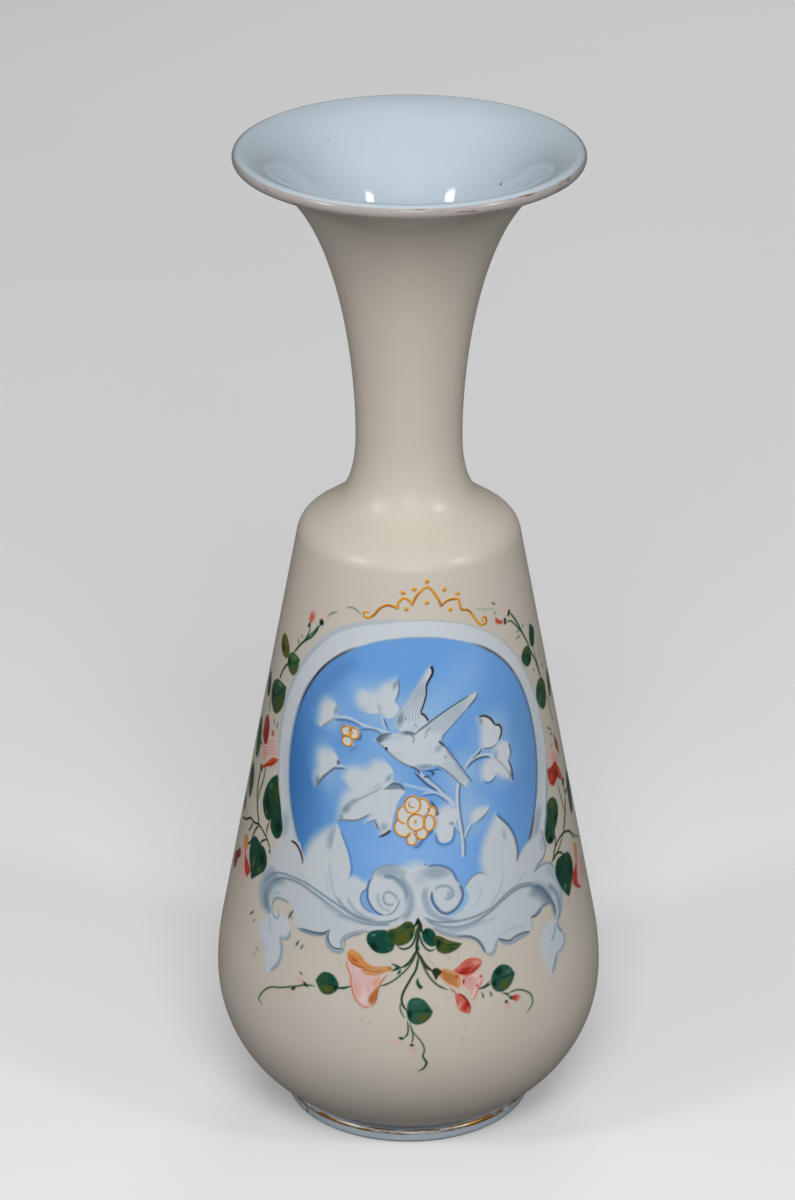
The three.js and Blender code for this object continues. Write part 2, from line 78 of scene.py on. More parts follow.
COLOURS = {
    "opal": ("Opal glass", "Milky blue-white of the bare glass", (0.735, 0.785, 0.82)),
    "cream": ("Cream ground", "Fired cream of the ground", (0.80, 0.765, 0.718)),
    "gilt": ("Gilding", "Fired gilding where it is whole", (0.72, 0.52, 0.26)),
    "blue": ("Blue enamel", "Sky of the medallion", (0.44, 0.635, 0.87)),
    "white": ("White enamel", "Border, scrolls, leaves and bird", (0.796, 0.822, 0.852)),
    "green": ("Green enamel", "Leaves and stems of the garlands", (0.17, 0.31, 0.23)),
    "red": ("Red enamel", "Trumpet flowers", (0.73, 0.24, 0.19)),
    "orange": ("Orange enamel", "The orange flower of the bouquet", (0.83, 0.55, 0.31)),
    "gold": ("Gold enamel", "Raised lines of the grapes and the crest", (0.886, 0.604, 0.18)),
}


def length_property(name, words, default):
    """A size in metres, shown in the scene's own unit."""
    return bpy.props.FloatProperty(
        name=name, description=words, default=default * MM, min=0.0, unit="LENGTH", precision=4)


def colour_property(name, words, default):
    """A colour as it looks on screen."""
    return bpy.props.FloatVectorProperty(
        name=name, description=words, default=default, min=0.0, max=1.0, size=3, subtype="COLOR_GAMMA")


class VaseSizes(bpy.types.PropertyGroup):
    """The sizes of the turned glass."""

    __annotations__ = {key: length_property(*rest) for key, rest in LENGTHS.items()}


class VaseColours(bpy.types.PropertyGroup):
    """The colours of the glass, the ground and the enamels, as they look on screen."""

    __annotations__ = {key: colour_property(*rest) for key, rest in COLOURS.items()}


def sizes():
    """The sizes in millimetres."""
    chosen = bpy.context.scene.vase_sizes
    return {key: getattr(chosen, key) / MM for key in LENGTHS}


def colour(key):
    """A chosen colour as numbers from 0 to 1, as it looks on screen."""
    return np.array(getattr(bpy.context.scene.vase_colours, key)[:])


def step(low, high, value):
    """0 below low, 1 above high and a smooth rise between."""
    t = np.clip((value - low) / (high - low), 0, 1)
    return t * t * (3 - 2 * t)


def linear(shade):
    """Screen values turned into amounts of light, by the usual curve of a screen."""
    shade = np.asarray(shade, float)
    return np.where(shade <= 0.04045, shade / 12.92, ((shade + 0.055) / 1.055) ** 2.4)


# ---------------------------------------------------------------- the turned profile

SIDE_ARC, SHOULDER_ARC = 109.0, 11.0  # radii over the widest point and at the shoulder
SLOPE, SLOPE_END = math.radians(34.3), 29.0  # rise of the shoulder's slope, and the radius where it ends
FLARE_RISE, FLARE_RUN = 33.0, 36.0  # reach of the flare's control points over the neck and in from the lip
LIP_RISE = math.radians(10)  # of the flare where it meets the lip
LIP_SWELL, LIP_WHOLE = 16.0, 5.2  # the wall thickens between these distances under the top
FLOOR, FLOOR_ARC = 5.0, 10.0  # thickness of the floor and radius of its corner
FOOT_RING, FOOT_TAPER = 9.0, 4.0  # width of the standing ring, and of the slope inside it
PONTIL, HOLLOW, DIMPLE = 11.0, 1.3, 0.7  # radius of the pontil mark, height of the hollow, rise of the mark
FOOT_EDGE, FOOT_TOP = 2.0, 2.6  # radii of the foot's lower and upper edges
GROUND_START = 0.9  # height over the foot at which the cream starts
LIP_GILDING, LIP_STEPS, LIP_END = 4.7, 30, 21  # depth of the lip's gilding, steps of the arc and where it ends


def arc(centre, radius, start, end, steps):
    """Points at even angles on a circle: centre plus radius times cosine and sine."""
    angle = np.linspace(start, end, steps + 1)
    return np.stack([centre[0] + radius * np.cos(angle), centre[1] + radius * np.sin(angle)], 1)


def drawn(points, steps):
    """A curve drawn towards its control points, weighted by the powers of t and 1 - t."""
    t = np.linspace(0, 1, steps + 1)[:, None]
    order = len(points) - 1
    return sum(math.comb(order, i) * t ** i * (1 - t) ** (order - i) * np.array(p) for i, p in enumerate(points))


def fillet(before, corner, after, radius, steps):
    """The arc of a radius that touches both straight runs at a corner."""
    before, corner, after = (np.array(p, float) for p in (before, corner, after))
    back = (before - corner) / np.linalg.norm(before - corner)
    on = (after - corner) / np.linalg.norm(after - corner)
    half = math.acos(float(back @ on)) / 2
    reach = radius / math.tan(half)
    middle = corner + (back + on) / np.linalg.norm(back + on) * reach / math.cos(half)
    first, last = corner + back * reach - middle, corner + on * reach - middle
    start, end = math.atan2(first[1], first[0]), math.atan2(last[1], last[0])
    end -= 2 * math.pi * round((end - start) / (2 * math.pi))
    return arc(middle, radius, start, end, steps)


def beside(line, distance):
    """A line moved sideways, to the right of its direction, by a distance at each point."""
    run = np.gradient(line, axis=0)
    run /= np.linalg.norm(run, axis=1)[:, None]
    across = np.stack([run[:, 1], -run[:, 0]], 1)
    return line + across * np.broadcast_to(distance, len(line))[:, None]


def join(*runs):
    """Runs of points in one line, with repeated points left out."""
    line = np.concatenate(runs)
    apart = np.linalg.norm(np.diff(line, axis=0), axis=1) > 1e-6
    return line[np.concatenate([[True], apart])]


def straight(start, end, steps):
    """Points at even steps on a straight run."""
    t = np.linspace(0, 1, steps + 1)[:, None]
    return np.array(start) * (1 - t) + np.array(end) * t


def lower_belly(size):
    """Centre and radius of the arc from the foot's edge to the widest point."""
    run, rise = size["belly_radius"] - size["base_radius"], size["belly_height"] - size["foot_height"]
    radius = (run ** 2 + rise ** 2) / (2 * run)
    return (size["belly_radius"] - radius, size["belly_height"]), radius


def lip_centre(size):
    """The middle of the lip's round edge."""
    return np.array([size["lip_radius"] - size["lip_bead"], size["height"] - size["lip_bead"]])


def outside(size):
    """The outer side of the body from its base to the lip: two arcs, a straight side, a rounded
    shoulder, a slope, a sweep into the neck and a flare."""
    centre, radius = lower_belly(size)
    start = -math.asin((size["belly_height"] - size["foot_height"]) / radius)
    lower = arc(centre, radius, start, 0, 44)
    upper_centre = np.array([size["belly_radius"] - SIDE_ARC, size["belly_height"]])
    corner = np.array([size["shoulder_radius"], size["shoulder_height"]])
    to_corner = corner - upper_centre
    touch = math.atan2(to_corner[1], to_corner[0]) - math.acos(SIDE_ARC / np.linalg.norm(to_corner))
    upper = arc(upper_centre, SIDE_ARC, 0, touch, 16)
    on_slope = lambda radius: corner + (radius - corner[0]) * np.array([1, -math.tan(SLOPE)])
    sweep_start = on_slope(SLOPE_END)
    shoulder = fillet(upper[-1], corner, sweep_start, SHOULDER_ARC, 14)
    side = straight(upper[-1], shoulder[0], 24)
    neck = (size["neck_radius"], size["neck_height"])
    sweep = drawn([sweep_start, on_slope(neck[0]), neck], 22)
    rise = np.array([math.cos(LIP_RISE), math.sin(LIP_RISE)])
    under_lip = lip_centre(size) + np.array([rise[1], -rise[0]]) * size["lip_bead"]
    flare = drawn([neck, (neck[0], neck[1] + FLARE_RISE), under_lip - rise * FLARE_RUN, under_lip], 52)
    return join(lower, upper, side, shoulder, straight(shoulder[-1], sweep_start, 4), sweep, flare)


def lip_arc(size, steps=14):
    """Half a circle round the lip, from its underside to its inner edge."""
    return arc(lip_centre(size), size["lip_bead"], LIP_RISE - math.pi / 2, LIP_RISE + math.pi / 2, steps)


def inside(size):
    """The inner side of the body from the middle of its floor to the lip."""
    outer = outside(size)
    floor = size["foot_height"] + FLOOR
    thicken = step(size["height"] - LIP_SWELL, size["height"] - LIP_WHOLE, outer[:, 1])
    side = beside(outer, -(size["wall"] + (2 * size["lip_bead"] - size["wall"]) * thicken))
    side = side[(side[:, 1] > floor + 0.1) & (outer[:, 1] > size["foot_height"] + 3)]
    corner = fillet((0, floor), (side[0][0] - 0.35, floor), side[3], FLOOR_ARC, 10)
    return join(straight((0, floor), corner[0], 6), corner, side[side[:, 1] > corner[-1][1] + 0.3])


def revolve(profile, segments, closed=False):
    """A profile of radius and height turned about the axis: x is radius times sine, y is minus
    radius times cosine. A point on the axis becomes one pole. Gives vertices and faces."""
    profile = np.asarray(profile, float)
    angle = np.linspace(0, 2 * math.pi, segments, endpoint=False)
    poles = profile[:, 0] < 1e-6
    vertices, rings = [], []
    for (radius, z), pole in zip(profile, poles):
        rings.append((sum(len(v) for v in vertices), pole))
        if pole:
            vertices.append(np.array([[0.0, 0.0, z]]))
        else:
            vertices.append(np.stack([radius * np.sin(angle), -radius * np.cos(angle), np.full(segments, z)], 1))
    k = np.arange(segments)
    after = (k + 1) % segments
    faces = []
    count = len(profile)
    for i in range(count if closed else count - 1):
        (a, a_pole), (b, b_pole) = rings[i], rings[(i + 1) % count]
        if a_pole and b_pole:
            continue
        if a_pole:
            faces += np.stack([np.full(segments, a), b + after, b + k], 1).tolist()
        elif b_pole:
            faces += np.stack([a + k, a + after, np.full(segments, b)], 1).tolist()
        else:
            faces += np.stack([a + k, a + after, b + after, b + k], 1).tolist()
    return np.concatenate(vertices), faces


def band(line, inner, outer, segments):
    """A thin closed skin that follows a line of the profile between two distances from it."""
    ring = np.concatenate([beside(line, outer), beside(line, inner)[::-1]])
    return revolve(ring, segments, closed=True)


# ---------------------------------------------------------------- meshes and materials

def stand(name, data):
    """A new object of the scene."""
    thing = bpy.data.objects.new(name, data)
    bpy.context.collection.objects.link(thing)
    return thing


def make_piece(name, vertices, faces, material, *, node, sharp=40.0):
    """Puts a shape in millimetres into a mesh in metres that stands for its node. Edges sharper than
    an angle stay sharp."""
    mesh = bpy.data.meshes.new(name)
    mesh.from_pydata(np.asarray(vertices) * MM, [], faces)
    mesh.validate()
    mesh.materials.append(material)
    if sharp:
        mesh.set_sharp_from_angle(angle=math.radians(sharp))
    piece = stand(name, mesh)
    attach(piece, "root")
    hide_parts(node)
    return piece


class Nodes:
    """A material's node tree, with short words for adding to it."""

    def __init__(self, name):
        self.material = bpy.data.materials.get(name) or bpy.data.materials.new(name)
        self.material.use_nodes = True
        self.tree = self.material.node_tree
        self.tree.nodes.clear()
        self.shader = self.add("ShaderNodeBsdfPrincipled")
        self.add("ShaderNodeOutputMaterial", {"Surface": self.shader.outputs["BSDF"]})

    def add(self, kind, inputs=(), **settings):
        """A new node with its settings, and with its inputs given by name or number."""
        node = self.tree.nodes.new(kind)
        for key, value in settings.items():
            setattr(node, key, value)
        self.fill(node, dict(inputs))
        return node

    def fill(self, node, inputs):
        """Links or sets a node's inputs."""
        for key, value in inputs.items():
            if isinstance(value, bpy.types.NodeSocket):
                self.tree.links.new(value, node.inputs[key])
            else:
                node.inputs[key].default_value = value

    def set(self, **values):
        """Links or sets the shader's own inputs."""
        self.fill(self.shader, {key.replace("_", " "): value for key, value in values.items()})

    def place(self):
        return self.add("ShaderNodeTexCoord").outputs["Object"]

    def stretch(self, vector, scale):
        return self.add("ShaderNodeMapping", {"Vector": vector, "Scale": scale}).outputs["Vector"]

    def noise(self, vector, scale, detail=2.0, roughness=0.5):
        inputs = {"Vector": vector, "Scale": scale, "Detail": detail, "Roughness": roughness}
        return self.add("ShaderNodeTexNoise", inputs).outputs["Fac"]

    def span(self, value, low, high, to_low=0.0, to_high=1.0):
        """A smooth rise from one value to another between two limits."""
        inputs = {"Value": value, "From Min": low, "From Max": high, "To Min": to_low, "To Max": to_high}
        return self.add("ShaderNodeMapRange", inputs, interpolation_type="SMOOTHSTEP").outputs["Result"]

    def maths(self, kind, a, b):
        return self.add("ShaderNodeMath", {0: a, 1: b}, operation=kind).outputs[0]

    def mix(self, share, a, b, kind="MIX"):
        """Two colours mixed by a share."""
        a, b = (value if isinstance(value, bpy.types.NodeSocket) else (*value, 1.0) for value in (a, b))
        return self.add("ShaderNodeMix", {0: share, 6: a, 7: b}, data_type="RGBA", blend_type=kind).outputs[2]

    def bump(self, height, strength, distance):
        inputs = {"Strength": strength, "Distance": distance, "Height": height}
        self.set(Normal=self.add("ShaderNodeBump", inputs).outputs["Normal"])


def opal_glass():
    """Milky blue-white glass, glossy, with faint clouds and a few dark specks in it."""
    nodes = Nodes("opal_glass")
    place = nodes.place()
    opal = linear(colour("opal"))
    cloud = nodes.span(nodes.noise(place, 22.0, 3.0), 0.3, 0.7)
    shade = nodes.mix(cloud, opal * 0.97, np.clip(opal * (1.02, 1.015, 1.01), 0, 1))
    speck = nodes.span(nodes.noise(place, 210.0, 1.0), 0.775, 0.80)
    shade = nodes.mix(speck, shade, opal * 0.45)
    nodes.set(Base_Color=shade, Roughness=0.09, IOR=1.5, Subsurface_Weight=0.12,
              Subsurface_Radius=(0.004, 0.005, 0.006), Subsurface_Scale=1.0)
    nodes.bump(nodes.noise(place, 60.0, 2.0), 0.08, 0.0006)
    return nodes.material


def ground_nodes(nodes, base, cover=None, shine=0.5):
    """The mottle of the fired cream: soft warm and cool clouds and a fine grain over a base colour.
    Where enamel covers it, the roughness falls."""
    place = nodes.place()
    cloud = nodes.span(nodes.noise(place, 14.0, 3.0), 0.3, 0.7)
    grain = nodes.span(nodes.noise(place, 900.0), 0.25, 0.75)
    shade = base
    for share, dark, pale in ((cloud, (0.975, 0.985, 1.0), (1.0, 0.99, 0.97)),
                              (grain, (0.975, 0.975, 0.972), (1.0, 1.0, 1.0))):
        shade = nodes.mix(1.0, shade, nodes.mix(share, dark, pale), "MULTIPLY")
    rough = nodes.span(nodes.noise(place, 120.0, 3.0), 0.3, 0.7, 0.31, 0.38)
    if cover is not None:
        rough = nodes.maths("MULTIPLY", rough, nodes.span(cover, 0.0, 1.0, 1.0, 0.72))
    nodes.set(Base_Color=shade, Roughness=rough, IOR=1.5, Specular_IOR_Level=shine)
    nodes.bump(nodes.noise(place, 420.0, 3.0), 0.12, 0.00008)
    return nodes.material


def cream_ground():
    """The fired cream ground, satin."""
    nodes = Nodes("cream_ground")
    return ground_nodes(nodes, linear(colour("cream")))


def paint(name, shine):
    """Enamels over the ground: colour and cover come from the piece's own attribute."""
    if name in bpy.data.materials:
        return bpy.data.materials[name]
    nodes = Nodes(name)
    attribute = nodes.add("ShaderNodeAttribute", attribute_name="paint")
    return ground_nodes(nodes, attribute.outputs["Color"], attribute.outputs["Alpha"], shine)


def worn_gilding(name, wear, gold, bare, left_wear, metal):
    """Fired gilding rubbed through to the glass in long patches along the band, more so on its left
    half: gold, and metallic by the amount metal, where the noise is over wear, else the glass's opal
    tinted by bare."""
    nodes = Nodes(name)
    uv = nodes.add("ShaderNodeUVMap", uv_map="along").outputs["UV"]
    along = nodes.add("ShaderNodeSeparateXYZ", {0: uv}).outputs[0]
    rubbed = nodes.span(along, 0.19, 0.23, 0.0, -left_wear)
    patches = nodes.noise(nodes.stretch(uv, (5.0, 36.0, 1.0)), 10.0, 5.0, 0.65)
    fine = nodes.noise(nodes.stretch(uv, (24.0, 120.0, 1.0)), 20.0, 3.0, 0.6)
    whole = nodes.maths("ADD", nodes.maths("MULTIPLY", patches, 0.75), nodes.maths("MULTIPLY", fine, 0.25))
    left = nodes.span(nodes.maths("ADD", whole, rubbed), wear - 0.02, wear + 0.05)
    # The gold is darker in patches along the fine noise: partly the brown of worn gilding, partly painted reflection of
    # dark surroundings.
    gold = nodes.mix(nodes.span(fine, 0.35, 0.65), gold * 0.6, gold)
    nodes.set(Base_Color=nodes.mix(left, linear(colour("opal") * bare), gold), IOR=1.5,
              Metallic=nodes.maths("MULTIPLY", left, metal), Roughness=nodes.span(left, 0.0, 1.0, 0.22, 0.36))
    nodes.bump(fine, 0.15, 0.00005)
    return nodes.material


# ---------------------------------------------------------------- the glass and what is fired on all round

def blown_body():
    """The body's outline turned about the axis: base, outer side, round lip, inner side, floor."""
    size = sizes()
    outline = join([(0, size["foot_height"])], outside(size), lip_arc(size), inside(size)[::-1])
    vertices, faces = revolve(outline, 192)
    return make_piece("blown_body", vertices, faces, opal_glass(), node="glass_body")


def pad_foot():
    """The foot's outline turned about the axis: pontil mark, hollow, standing ring, edge, top."""
    size = sizes()
    radius, rise = size["foot_radius"], size["foot_height"]
    ring = radius - FOOT_RING
    share = np.linspace(0, 1, 7)
    pontil = np.stack([PONTIL * share, HOLLOW + DIMPLE * (1 - share ** 2)], 1)
    edge = fillet((0, 0), (radius, 0), (radius, rise), FOOT_EDGE, 6)
    top = fillet((radius, 0), (radius, rise), (0, rise), FOOT_TOP, 8)
    outline = join(pontil, [(ring - FOOT_TAPER, HOLLOW), (ring, 0)], edge, top, [(0, rise)])
    vertices, faces = revolve(outline, 128)
    return make_piece("applied_foot", vertices, faces, opal_glass(), node="pad_foot")


def ground_coat():
    """The cream coat, a thin skin over the outer side from above the foot to under the lip."""
    size = sizes()
    line = outside(size)
    line = line[line[:, 1] >= size["foot_height"] + GROUND_START]
    vertices, faces = band(line, FIT, FIT + GROUND, 192)
    return make_piece("cream_coat", vertices, faces, cream_ground(), node="cream_ground")


def gilded_band(name, node, line, material):
    """A gilded skin over part of an edge, with a map of the distances round and across it."""
    segments = 192
    vertices, faces = band(line, FIT, FIT + GILDING, segments)
    piece = make_piece(name, vertices, faces, material, node=node, sharp=60.0)
    mesh = piece.data
    corners = np.zeros(len(mesh.loops), np.int32)
    mesh.loops.foreach_get("vertex_index", corners)
    ring, turn = corners // segments, corners % segments
    # The last face of each ring ends at a whole turn and not at 0.
    face = turn.reshape(-1, 4)
    face[(face.max(1) == segments - 1)[:, None] & (face == 0)] = segments
    across = np.concatenate([[0], np.cumsum(np.linalg.norm(np.diff(line, axis=0), axis=1))])
    across = np.concatenate([across, across[::-1]])
    round_ = turn / segments * 2 * math.pi * line[len(line) // 2][0]
    layer = mesh.uv_layers.new(name="along")
    layer.data.foreach_set("uv", (np.stack([round_, across[ring]], 1) * MM).astype(np.float32).ravel())


def gilded_edges():
    """The lip's underside and front, and the foot's upper edge: parts of their arcs."""
    size = sizes()
    lip = lip_arc(size, LIP_STEPS)[:LIP_END]
    worn = worn_gilding("lip_gilding", 0.545, linear(colour("gilt") * (0.80, 0.84, 1.3)), (0.91, 0.82, 0.77), 0.05, 0.3)
    gilded_band("lip_gilding", "rim_gilding", lip[lip[:, 1] > size["height"] - LIP_GILDING], worn)
    radius, rise = size["foot_radius"], size["foot_height"]
    top = fillet((radius, 0), (radius, rise), (0, rise), FOOT_TOP, 20)[3:13]
    worn = worn_gilding("foot_gilding", 0.45, linear(colour("gilt")), (1.03, 1.03, 1.03), 0.0, 0.85)
    gilded_band("foot_line", "foot_gilding", top, worn)


# ---------------------------------------------------------------- brushwork on the unrolled surface

# A place is a distance s round the vase from the middle of its front and a height z, in millimetres.
# Places are written as one list of such pairs, with None after the place of a sharp corner. A letter
# names the places of an outline that strokes follow again. A mark is the path that it keeps to, how
# far it reaches from that path, the function that lays it on a grid and two switches: whether it
# stays inside the last wash, and whether it is itself a wash.


def places(numbers):
    """Rows of distance, height and 1 for a corner, else 0, from a list of places."""
    rows = np.zeros((sum(number is not None for number in numbers) // 2, 3))
    count = 0
    for number in numbers:
        if number is None:
            rows[count // 2 - 1, 2] = 1
        else:
            rows[count // 2, count % 2] = number
            count += 1
    return rows


def smooth(points, closed=False, steps=6):
    """A curve through the points: a cubic between each two, with the tangent at a point taken from
    both its neighbours, and each side's own at a sharp corner. Rows of two are a curve already."""
    if isinstance(points, np.ndarray) and points.shape[1] == 2:
        return points
    rows = points if isinstance(points, np.ndarray) else places(points)
    if closed:
        rows = np.concatenate([rows, rows[:1]])
    path, sharp = rows[:, :2], rows[:, 2] > 0
    chord = np.linalg.norm(np.diff(path, axis=0), axis=1)[:, None]
    slope = np.diff(path, axis=0) / chord
    leave, arrive = slope.copy(), slope.copy()
    middle = (slope[:-1] * chord[1:] + slope[1:] * chord[:-1]) / (chord[1:] + chord[:-1])
    soft = ~sharp[1:-1]
    leave[1:][soft], arrive[:-1][soft] = middle[soft], middle[soft]
    open_start, open_end = np.concatenate([[True], ~soft]), np.concatenate([~soft, [True]])
    if closed and not sharp[0]:
        leave[0] = arrive[-1] = (slope[-1] * chord[0] + slope[0] * chord[-1]) / (chord[0] + chord[-1])
        open_start[0] = open_end[-1] = False
    once, also = open_start & ~open_end, open_end & ~open_start
    leave[once] = 1.5 * slope[once] - 0.5 * arrive[once]
    arrive[also] = 1.5 * slope[also] - 0.5 * leave[also]
    t = np.linspace(0, 1, steps, endpoint=False)[None, :, None]
    a, b = path[:-1, None], path[1:, None]
    m, n = (leave * chord)[:, None], (arrive * chord)[:, None]
    curve = ((2 * t ** 3 - 3 * t ** 2 + 1) * a + (t ** 3 - 2 * t ** 2 + t) * m
             + (3 * t ** 2 - 2 * t ** 3) * b + (t ** 3 - t ** 2) * n)
    return np.concatenate([curve.reshape(-1, 2), path[-1:]])


def within(axes, path, reach):
    """The slices of the grid's two axes that lie within a reach of a path."""
    low, high = path.min(0) - reach, path.max(0) + reach
    return tuple(slice(*np.searchsorted(axis, (low[i], high[i]))) for i, axis in enumerate(axes))


def enclosed(s, z, outline):
    """Which crossings of the lines s and z lie inside a closed outline: those with an odd number of
    its sides to their right."""
    rows = []
    for level in z:
        above = outline[:, 1] > level
        cut = np.flatnonzero(above[:-1] != above[1:])
        (a, b), (c, d) = outline[cut].T, outline[cut + 1].T
        at = np.sort(a + (level - b) / (d - b) * (c - a))
        rows.append((len(at) - np.searchsorted(at, s)) % 2 == 1)
    return np.stack(rows, 1)


def measure(s, z, path, reach):
    """For every crossing of the lines s and z: the distance to a path, the share of its length at
    the nearest point, the direction away from that point and the side, 1 to its left. The path is
    taken in runs of eight steps, each with the part of the grid that lies within reach."""
    shape = (len(s), len(z))
    found = np.stack([np.full(shape, reach + 9.0), np.zeros(shape), np.zeros(shape), np.ones(shape)])
    start, run = path[:-1], np.diff(path, axis=0)
    length = np.maximum(np.hypot(*run.T), 1e-9)
    before = np.concatenate([[0], np.cumsum(length)])
    for first in range(0, len(run), 8):
        box = within((s, z), path[first:first + 9], reach)
        grid = np.stack(np.meshgrid(s[box[0]], z[box[1]], indexing="ij"), -1)
        if not grid.size:
            continue
        part = np.arange(first, min(first + 8, len(run)))
        off = grid[:, :, None] - start[part]
        t = np.clip((off * run[part]).sum(-1) / length[part] ** 2, 0, 1)
        away = off - t[..., None] * run[part]
        nearest = np.hypot(away[..., 0], away[..., 1]).argmin(-1)[..., None]
        pick = lambda values: np.take_along_axis(values, nearest, -1)[..., 0]
        over, up = pick(away[..., 0]), pick(away[..., 1])
        k = part[nearest[..., 0]]
        new = np.stack([np.hypot(over, up), (before[k] + pick(t) * length[k]) / before[-1], np.arctan2(up, over),
                        np.sign(run[k, 0] * pick(off[..., 1]) - run[k, 1] * pick(off[..., 0]))])
        there = found[(slice(None), *box)]
        found[(slice(None), *box)] = np.where(new[0] < there[0], new, there)
    return found


def waves(s, z, size, angle=0.0, stretch=1.0, seed=1):
    """Soft noise from about -1 to 1: seven sine waves of different length and direction, longer by
    stretch along an angle."""
    rng = np.random.default_rng(seed)
    a = math.radians(angle)
    u, v = (s * math.cos(a) + z * math.sin(a)) / stretch, z * math.cos(a) - s * math.sin(a)
    total = 0.0
    for turn, length, phase in zip(rng.uniform(0, math.pi, 7), rng.uniform(0.6, 1.7, 7), rng.uniform(0, 6.28, 7)):
        total = total + np.sin((u * math.cos(turn) + v * math.sin(turn)) * 6.28 / (size * length) + phase)
    return total / 3.5


def ink(shade):
    """A shade as red, green and blue: three numbers up to 255, or one for a cool grey of that depth."""
    if not isinstance(shade, tuple):
        shade = shade, shade + min(20, 7 + (203 - shade) * 0.2), shade + min(36, 13 + (203 - shade) * 0.35)
    return np.array(shade, float) / 255


def wash(points, shade, opacity=1.0, brush=None, edge=0.25, airy=None, thick=0.02, clip=False):
    """A filled shape inside a closed outline. Its edge is edge wide, or, on the side that faces the
    angle airy[0], fades over airy[1]. brush is (angle, stretch, amount) of the brush marks in it."""
    outline = smooth(points, closed=True)
    reach = max(edge, airy[1] if airy else 0) + 0.3

    def lay(s, z):
        distance, _, away, _ = measure(s, z, outline, reach)
        side = np.where(enclosed(s, z, outline), 1.0, -1.0)
        width = edge
        if airy:
            facing = np.cos(away - math.radians(airy[0])) * -side
            width = edge + (airy[1] - edge) * step(-0.35, 0.75, facing)
        cover = step(-width, width, side * distance) * opacity
        tone = np.ones(side.shape)
        if brush:
            tone = tone + brush[2] * waves(s[:, None], z[None, :], 0.9, brush[0], brush[1], seed=len(outline))
        return cover, ink(shade) * tone[..., None], thick * step(-edge, edge, side * distance)

    return outline, reach, lay, clip, True


def line(points, width, shade, soft=0.3, fade=0.4, opacity=0.8, ends=(0.35, 0.35), taper=2.5, thick=0.008,
         clip=False, closed=False, swell=None, full=False):
    """A brush line through the points. soft is the softness of its edge, or of its left and right
    edges; fade the length, or lengths, over which it fades in and out; ends are the shares of the
    width left at its ends, reached over taper; swell the pairs of (share along it, share of the
    width). A full line is domed, and a closed one has no ends."""
    path = smooth(points, closed)
    left, right = soft if isinstance(soft, tuple) else (soft, soft)
    fades = (0, 0) if closed or full else fade if isinstance(fade, tuple) else (fade, fade)
    total = np.hypot(*np.diff(path, axis=0).T).sum()
    reach = width / 2 * max([1.0] + [share for _, share in swell or ()]) + max(left, right)

    def lay(s, z):
        distance, along, _, side = measure(s, z, path, reach)
        far = np.minimum(along, 1 - along) * total
        half = width / 2 * np.ones(side.shape)
        if not closed:
            end = np.where(along < 0.5, ends[0], ends[1])
            half = half * (end + (1 - end) * step(0, min(taper, total / 2), far))
        if swell:
            half = half * np.interp(along, *zip(*swell))
        blur = np.where(side > 0, left, right)
        cover = (1 - step(half - blur * 0.6, half + blur, distance)) * opacity
        for length, place in ((fades[0], along), (fades[1], 1 - along)):
            if length:
                cover = cover * step(0, length, place * total)
        dome = np.sqrt(np.clip(1 - (distance / (half + 0.15)) ** 2, 0, 1)) if full else step(0, 0.5, cover)
        return cover, ink(shade), thick * dome

    return path, reach, lay, clip, False


def glow(at, height, across, up, shade, angle=0.0, core=0.0, opacity=0.8, clip=True):
    """A soft oval patch inside the last wash, which fades from its middle, or from the share core of
    its radii, outwards."""
    turn = math.radians(angle)

    def lay(s, z):
        u, v = s[:, None] - at, z[None, :] - height
        u, v = u * math.cos(turn) + v * math.sin(turn), v * math.cos(turn) - u * math.sin(turn)
        cover = (1 - step(core, 1, np.hypot(u / across, v / up))) * opacity
        return cover, ink(shade), np.zeros(cover.shape)

    return np.array([(at, height)], float), max(across, up), lay, clip, False


def painted(s, z, layers, own, cream, tints):
    """Lays marks over the cream, each by its opacity over what is there, on the crossings of the
    lines s and z. layers is a list of (name, enamel, marks), and the last one laid is own. Gives the
    colour, the cover, the height, the height under own and the cover of own."""
    shape = (len(s), len(z))
    colour = np.ones((*shape, 3)) * cream
    cover, height, mine, mask = (np.zeros(shape) for _ in range(4))
    for name, enamel, marks in layers:
        under = height.copy() if name == own else height
        for path, reach, lay, clip, keeps in marks:
            place = within((s, z), path, reach)
            if keeps and not clip:
                mask[:] = 0
            if place[0].start >= place[0].stop or place[1].start >= place[1].stop:
                continue
            amount, shade, rise = lay(s[place[0]], z[place[1]])
            if clip:
                amount, rise = amount * mask[place], rise * mask[place]
            elif keeps:
                mask[place] = amount
            colour[place] += (shade * tints[enamel] - colour[place]) * amount[..., None]
            cover[place] += (1 - cover[place]) * amount
            height[place] += rise
            if name == own:
                mine[place] = np.maximum(mine[place], amount)
        if name == own:
            break
    return np.clip(colour, 0, 1), cover, height, under, mine


# ---------------------------------------------------------------- what is painted

# Shades by name. A grey is given by its depth alone: see ink.
DARK_GREEN, SOOT, BARK, BROWN = (22, 48, 39), (50, 40, 42), (46, 62, 44), (62, 50, 46)
GREEN, TEAL, CARMINE, LEAF = (36, 72, 56), (28, 76, 68), (134, 30, 26), (50, 82, 62)
MOSS, FERN, OLIVE, GRAPHITE = (72, 88, 50), (68, 98, 62), (94, 96, 48), (84, 84, 92)
DEEP_ROSE, LIGHT_TEAL, STEEL, RUST = (170, 52, 44), (70, 112, 98), (72, 92, 122), (150, 88, 50)
RED, GOLD_BROWN, DUSTY_GREEN, DARK_BLUE = (186, 62, 48), (162, 98, 36), (86, 118, 98), (70, 100, 142)
TUBE, TAUPE, SLATE, SAGE = (176, 104, 56), (118, 114, 114), (88, 112, 150), (112, 134, 106)
DEEP_SKY, CORAL, MID_SKY, GOLD = (66, 118, 180), (200, 98, 84), (84, 130, 190), (220, 150, 46)
ORANGE, GREY_GREEN, APRICOT, SALMON = (212, 140, 80), (142, 158, 140), (206, 146, 94), (208, 128, 116)
